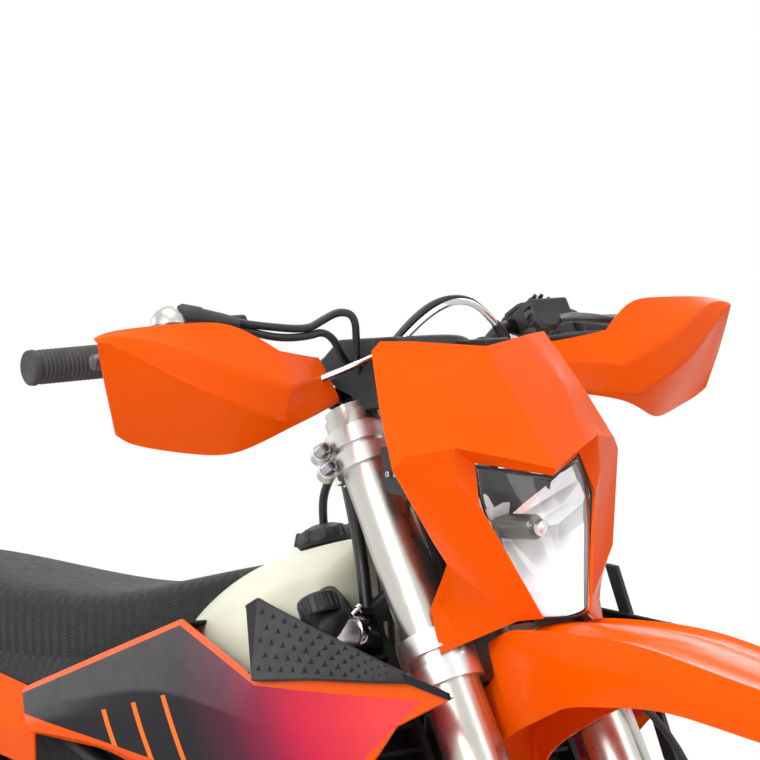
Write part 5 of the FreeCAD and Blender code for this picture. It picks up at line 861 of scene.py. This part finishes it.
def clamp_bolts():
    """Pinch bolts on the front of the upper clamp, and the cap of each fork tube."""
    for side in MIRROR:
        for s in (1251, 1232):
            turned("clamp_lug", fork, [(-8.5, 119, s), (6.5, 126, s)],
                   [(0, 0), (0, 9), (0.1, 10), (0.9, 10), (1, 9), (1, 0)], "clamp", 24, side)
            turned("pinch_bolt", fork, [(4.5, 128, s), (16.5, 128, s)],
                   [(0, 0), (0, 6.8), (0.7, 6.8), (1, 5.8), (1, 3.4), (0.5, 3.3), (0.5, 0)], "steel", 24, side)
        turned("fork_cap", fork, [(22, 89, 1276), (22, 89, 1287)],
               [(0, 0), (0, 23), (0.5, 24), (0.8, 22), (0.8, 13), (1, 12.4), (1, 6), (0.6, 5.6), (0.6, 0)],
               "cap", 36, side)
        turned("cable_guide", fork, [(62, 24, 1282), (62, 24, 1300)],
               [(0, 4), (0, 7), (0.1, 7.6), (0.9, 7.6), (1, 7), (1, 4)], "black", 20, side)


def master_lids():
    """Lids with two screws on both master cylinders, and the throttle housing's silver dome."""
    for side in MIRROR:
        place(soft_box("master_lid", (11, side * 214, 1390), (30, 52, 6), 7), "steering", "black")
        for y in (198, 230):
            turned("lid_screw", fork, [(11, y, 1391), (11, y, 1395)],
                   [(0, 0), (0, 4), (0.7, 4), (1, 3), (1, 0)], "steel", 16, side)
    turned("throttle_dome", bike, [(243, -262, 1250), (241, -262, 1273)],
           [(0, 18), (0.25, 19.5), (0.55, 17.5), (0.8, 12.5), (0.95, 6), (1, 0)], "fork", 36)
    turned("throttle_boot", bike, [(246, -256, 1264), (291, -213, 1252)],
           [(0, 0), (0, 9), (0.06, 11.5), (0.35, 11), (0.4, 9.6), (0.7, 8), (1, 5), (1, 0)], "black", 30)


# Chassis group

def panel(name, rows, side, folds, amount, look, node):
    """A side panel from rows of points, with folds along some of its columns."""
    rows = [spots(bike, row, side) for row in rows]
    obj = sheet(name, rows, Vector((0, side, 0)))
    crease(obj, rows, (0, -1), folds, amount)
    if amount == 1:
        pins = obj.data.attributes.new("crease_vert", "FLOAT", "POINT")
        wide = len(rows[0])
        for i in range(len(rows)):
            for j in (0, wide - 1):
                pins.data[i * wide + j].value = 1.0
    subdivided(obj, 2, 3)
    plate(obj, 3, (0.9, 50), "chassis", look, *stands_for(side, node))


# Shrouds and side panels: top, middle and low point of each row, from the rear
SHROUD = [
    [(-270, 108, 852), (-250, 120, 830), (-230, 128, 806)],
    [(-92, 114, 905), (-92, 128, 860), (-92, 134, 800)],
    [(51, 122, 946), (40, 142, 880), (20, 144, 780)],
    [(220, 160, 897), (200, 164, 850), (150, 152, 715)],
    [(330, 178, 906), (310, 180, 850), (235, 156, 650)],
    [(437, 186, 918), (400, 188, 860), (312, 164, 672)],
    [(556, 198, 905), (470, 194, 872), (366, 176, 780)],
]
SIDE = [
    [(-232, 108, 850), (-236, 118, 800), (-246, 112, 764)],
    [(-400, 106, 884), (-400, 116, 830), (-396, 110, 786)],
    [(-560, 96, 906), (-556, 106, 860), (-540, 98, 822)],
    [(-680, 78, 905), (-676, 84, 885), (-668, 80, 860)],
]


def shrouds():
    rows = []
    for top, middle, low in SHROUD:
        x, y, z = mid(middle, low, 0.45)
        rows.append([top, mid(top, middle, 0.5), middle, (x, y + 2, z), mid(middle, low, 0.86),
                     (low[0], low[1] - 7, low[2])])
    for side in MIRROR:
        panel("shroud", rows, side, (0, 2, 4, 5), 1, "sheet", "shrouds")


def rear_panels():
    rows = [(top, mid(top, middle, 0.5), middle, mid(middle, low, 0.5), low) for top, middle, low in SIDE]
    for side in MIRROR:
        panel("side_panel", rows, side, (0, 2, 4), 0.75, "orange", "side_panels")


KNEE_BACK = ((166, 128, 966), (206, 138, 892))
KNEE_LOW = [Vector(p) for p in ((222, 166, 897), (330, 183, 907), (494, 196, 914))]
KNEE_HIGH = [Vector(p) for p in ((181, 121, 974), (301, 153, 956), (488, 195, 924))]
KNEE_TRIM = ((484, 196, 924), (557, 204, 910), (558, 204, 903), (484, 197, 915))
KNEE_TALL, KNEE_CELLS = 6, 12
STUD_ROWS, STUD_COLUMNS = 5, 11


def on_line(line, share):
    first = (line[1] - line[0]).length
    whole = first + (line[2] - line[1]).length
    far = share * whole
    if far < first:
        return line[0].lerp(line[1], far / first)
    return line[1].lerp(line[2], (far - first) / (whole - first))


def knee_pads():
    """Black moulded panels with rows of small raised studs, and the trim ahead of them."""
    rows = []
    for i in range(KNEE_TALL + 1):
        row = []
        for j in range(KNEE_CELLS + 1):
            share = j / KNEE_CELLS
            p = on_line(KNEE_LOW, share).lerp(on_line(KNEE_HIGH, share), i / KNEE_TALL)
            row.append((p.x, p.y + 2.6, p.z))
        rows.append(row)
    points, faces = flat(rows), quads(rows)
    base = len(points)
    faces.append([*range(base - KNEE_CELLS - 1, -1, -KNEE_CELLS - 1), base + 1, base])
    for side in MIRROR:
        out = Vector((0, side, 0))
        obj = mend(raw("knee_panel", spots(bike, [*points, *KNEE_BACK], side), faces), out)
        plate(obj, 5, (1.5, 14, 3), "chassis", "panel", *stands_for(side, "knee_panels"))
        place(knee_studs(side), "chassis", "panel")
        trim = mend(raw("knee_trim", spots(bike, KNEE_TRIM, side), [(0, 1, 2, 3)]), out)
        plate(trim, 3, (1, 30), "chassis", "panel")


def knee_studs(side):
    """Low three-sided studs in rows that narrow toward the front."""
    bm = bmesh.new()
    for i in range(STUD_ROWS):
        v = (i + 0.75) / 5.6
        for j in range(STUD_COLUMNS):
            u = 0.05 + (j + 0.5 * (i % 2)) * 0.084
            low, high = on_line(KNEE_LOW, u), on_line(KNEE_HIGH, u)
            reach = (high - low).length
            if u > 0.9 or reach * 0.17 < 3.6 and i % 2:
                continue
            at = low.lerp(high, v)
            size = min(7.2, reach * 0.11 + 1.6)
            along = (on_line(KNEE_LOW, min(1, u + 0.02)) - low).normalized()
            up = (high - low).normalized()
            ring = [at - along * size - up * size * 0.3, at + along * size - up * size * 0.3, at + up * size * 0.9]
            verts = [bm.verts.new(bike(p.x, (p.y + 2.2) * side, p.z)) for p in ring]
            tip = bm.verts.new(bike(at.x, (at.y + 2.6 + size * 0.22) * side, at.z + 0.6))
            for k in range(3):
                bm.faces.new((verts[k], verts[(k + 1) % 3], tip))
    bmesh.ops.recalc_face_normals(bm, faces=bm.faces)
    return from_bmesh("knee_studs", bm)


def loft(name, halves):
    """A closed form from the left halves of its rings, mirrored, with both ends filled."""
    rings = [spots(bike, left) + spots(bike, left[-2:0:-1], -1) for left in halves]
    wide = len(rings[0])
    half = wide // 2
    faces = quads(rings, True)
    for start in (0, (len(rings) - 1) * wide):
        faces.append([start, start + 1, start + wide - 1])
        for j in range(1, half - 1):
            faces.append([start + j, start + j + 1, start + wide - j - 1, start + wide - j])
        faces.append([start + half - 1, start + half, start + half + 1])
    return mend(raw(name, flat(rings), faces)), rings


# Tank: place ahead, half width, low, roof of the tunnel under it, top
TANK = [(-46, 60, 800, 900, 952), (30, 92, 800, 880, 978), (100, 112, 806, 880, 1004), (170, 116, 826, 890, 1019),
        (225, 100, 850, 900, 1029), (252, 60, 880, 920, 1024)]


def tank():
    halves = []
    for x, half, low, tunnel, top in TANK:
        span = top - low
        row = [(0, top), (half * 0.34, top - span * 0.005), (half * 0.62, top - span * 0.06),
               (half * 0.88, top - span * 0.2), (half, top - span * 0.44), (half * 0.99, top - span * 0.72),
               (half * 0.84, low + span * 0.04), (half * 0.5, low), (half * 0.37, low + 10),
               (half * 0.34, tunnel - 8), (half * 0.26, tunnel), (0, tunnel)]
        halves.append([(x, y, z) for y, z in row])
    obj, rings = loft("tank_body", halves)
    crease(obj, rings, (), (3, -3), 0.7)
    modify(obj, "SUBSURF", levels=2, render_levels=3)
    place(obj, "chassis", "tank", "fuel_tank")


CHASSIS_HOSES = (
    ("vent_hose", 4.6, "hose", [(143, 0, 1032), (143, -1, 1052), (150, -3, 1072), (176, -8, 1098), (206, -8, 1112)]),
    ("water_hose", 7, "hose", [(214, -30, 1106), (235, -38, 1067), (262, -50, 1010), (272, -55, 960),
                               (282, -62, 915)]),
    ("water_hose_far", 7, "hose", [(226, -16, 1112), (248, -24, 1068), (276, -36, 1010), (287, -42, 960),
                                   (296, -50, 915)]),
    ("water_elbow", 16, "elbow", [(252, -110, 925), (264, -115, 936), (276, -112, 941), (284, -100, 941),
                                  (286, -88, 940)]),
    ("elbow_hose", 15, "hose", [(286, -90, 940), (283, -64, 934), (277, -48, 915), (270, -44, 880)]),
)


def fillers():
    """Ribbed filler cap on the tank and a ribbed cap and clamp on the radiator hose."""
    def part(name, ends, profile, look, count, old=()):
        turned(name, bike, ends, profile, look, count, body="chassis", old=old)

    axis = Vector((-0.24, 0, 1)).normalized()
    foot = Vector((146, 0, 1017))
    part("filler_cap", (foot - axis * 2, foot + axis * 20),
         [(0, 0), (0, 29), (0.15, 31), (0.4, 31), (0.7, 28), (0.9, 18), (1, 12), (1, 0)], "black", 40,
         ("tank_cap",))
    for c, s in circle(9):
        side = Vector((c, s, 0.24 * c))
        spot = foot + side * 29
        part("cap_rib", (spot + axis, spot * 0.3 + (foot + side * 24) * 0.7 + axis * 15),
             [(0, 0), (0, 5), (0.1, 5.6), (0.9, 4), (1, 3), (1, 0)], "black", 12)
    for name, radius, look, points in CHASSIS_HOSES:
        tube(name, bike, points, radius, look, body="chassis")
    foot, axis = Vector((274, -115, 958)), Vector((-0.446, 0, 0.895))
    part("radiator_lid", (foot, foot + axis * 24),
         [(0, 0), (0, 19), (0.08, 20.4), (0.8, 20.4), (0.9, 18), (0.92, 8), (1, 7), (1, 0)], "black", 24)
    for c, s in circle(16):
        side = Vector((0.895 * c, s, 0.446 * c)) * 20.2
        low = foot + side + axis * 3
        part("lid_rib", (low, low + axis * 15), [(0, 0), (0, 1.4), (1, 1.2), (1, 0)], "black", 8)
    part("hose_clamp", [(286, -91, 940), (285, -79, 939)],
         [(0, 15.4), (0, 18), (0.1, 18.6), (0.9, 18.6), (1, 18), (1, 15.2)], "slider", 36)
    part("clamp_screw", [(290, -90, 956), (290, -78, 964)],
         [(0, 0), (0, 4), (0.6, 4), (0.62, 5.4), (1, 5.4), (1, 0)], "slider", 16)


# Seat: place ahead, half width, low and top of each row, and its section as shares of both
SEAT = [(118, 42, 966, 1003), (60, 62, 934, 996), (-40, 78, 905, 979), (-160, 86, 880, 961), (-300, 92, 880, 967),
        (-420, 94, 890, 978), (-540, 86, 908, 990), (-590, 66, 928, 992)]
SEAT_SECTION = [(0, 0), (0.45, 0.01), (0.76, 0.04), (0.93, 0.12), (0.985, 0.3), (1.0, 0.6), (1.0, 1.0), (0.5, 1.0),
                (0, 1.0)]
TOP_SHARE = 0.86


def baked(name, obj):
    """A new object with the mesh that the old one's modifiers give."""
    seen = obj.evaluated_get(bpy.context.evaluated_depsgraph_get())
    bm = bmesh.new()
    bm.from_mesh(seen.to_mesh())
    seen.to_mesh_clear()
    bpy.data.objects.remove(obj)
    return from_bmesh(name, bm)


def seat():
    """The long seat: a crowned grained top over flat grooved sides."""
    halves = [[(x, half * a, top - 2 - (top - low - 2) * b) for a, b in SEAT_SECTION]
              for x, half, low, top in SEAT]
    obj, rings = loft("saddle", halves)
    crease(obj, rings, (), (6, -6), 0.9)
    modify(obj, "SUBSURF", levels=3, render_levels=3)
    cover = baked("saddle_cover", obj)
    place(cover, "chassis", "seat_side", "seat")
    cover.data.materials.append(M["seat_top"])
    smooth(cover.data)
    for face in cover.data.polygons:
        face.material_index = int(face.normal.dot(UP) > TOP_SHARE)


# Seat skirts: upper and lower point of each column, from the rear
SKIRT = [
    ((-500, 91, 903), (-500, 99, 893)), ((-400, 93, 896), (-400, 103, 882)), ((-300, 91, 888), (-300, 105, 860)),
    ((-250, 89, 888), (-252, 105, 852)), ((-160, 85, 890), (-170, 109, 880)), ((-92, 81, 904), (-92, 111, 903)),
    ((-40, 77, 916), (-20, 113, 923)), ((46, 62, 940), (50, 118, 943)),
]


def seat_skirts():
    """The cover's lower edge, drawn out to the panels on both sides."""
    for side in MIRROR:
        rows = [spots(bike, (high, mid(high, low, 0.35), mid(high, low, 0.7), low), side) for high, low in SKIRT]
        obj = sheet("seat_skirt", rows, Vector((0, side, 0)))
        modify(obj, "SUBSURF", levels=2, render_levels=2)
        shell(obj, 3)
        place(obj, "chassis", "seat_side")


for make in (mask, lamp, lamp_holders, shields, fender, steering_hoses, handlebar_pad, hand_grips, hand_levers,
             clamp_bolts, master_lids, bar_cover, shrouds, knee_pads, tank, fillers, seat, seat_skirts, rear_panels):
    make()
slab("far_brace", [(362, 986), (379, 984), (455, 786), (436, 788)], 196, 190, (1.5, 30), "chassis")


# Stage: white sky, soft boxes and a pale floor below the picture

SKY_STRENGTH = 0.66
SKY_LOW = (0.16, 0.16, 0.165)
FLOOR_RADIUS = 2.6


def sky():
    """White to the camera, in glass and in shiny metal; elsewhere a soft sky that darkens downward."""
    world = bpy.data.worlds.new("studio")
    bpy.context.scene.world = world
    world.use_nodes = True
    world.node_tree.nodes.clear()
    way = add(world, "SeparateXYZ", Vector=add(world, "TexCoord").outputs["Generated"])
    up = maths(world, "MULTIPLY_ADD", way.outputs["Z"], 0.5, 0.5)
    soft = add(world, "Background", Color=ramp(world, up, (0.35, SKY_LOW), (0.75, (1, 1, 1))), Strength=SKY_STRENGTH)
    white = add(world, "Background", Color=(1, 1, 1, 1), Strength=1.0)
    path = add(world, "LightPath")
    seen = path.outputs["Is Camera Ray"]
    for kind in ("Is Glossy Ray", "Is Transmission Ray"):
        seen = maths(world, "MAXIMUM", seen, path.outputs[kind])
    add(world, "OutputWorld", Surface=mixed(world, seen, soft.outputs[0], white.outputs[0]))


def area(name, place_at, aim, size, power, tall):
    light = set_all(bpy.data.lights.new(name, "AREA"), energy=power, size=size, shape="RECTANGLE", size_y=tall)
    set_all(linked(name, light), location=place_at, rotation_mode="QUATERNION",
            rotation_quaternion=(Vector(aim) - Vector(place_at)).to_track_quat("-Z", "Y"))


def stage():
    sky()
    bm = bmesh.new()
    bmesh.ops.create_circle(bm, cap_ends=True, radius=FLOOR_RADIUS, segments=96)
    ground = from_bmesh("floor", bm)
    ground.location.z = -0.0005
    pale = shader("floor_pale", (0.86, 0.86, 0.86), 0.6)
    rough_range(pale, noise(pale, 0.4), 0.5, 0.7)
    ground.data.materials.append(pale)
    area("key", (1.4, -3.4, 3.6), (0.3, -0.1, 1.0), 1.6, 92, 2.4)
    area("front", (4.2, 0.6, 2.4), (0.5, 0, 0.9), 1.2, 24, 2.2)
    area("top", (0.2, 0.2, 4.2), (0.2, 0, 0.8), 2.6, 48, 1.4)
    area("far", (-1.5, 3.5, 2.5), (0, 0, 0.9), 2.0, 32, 2.0)
    area("rear", (-4.0, -1.5, 2.5), (0, 0, 0.7), 1.6, 28, 2.2)
    bpy.context.scene.view_settings.view_transform = "Standard"


stage()
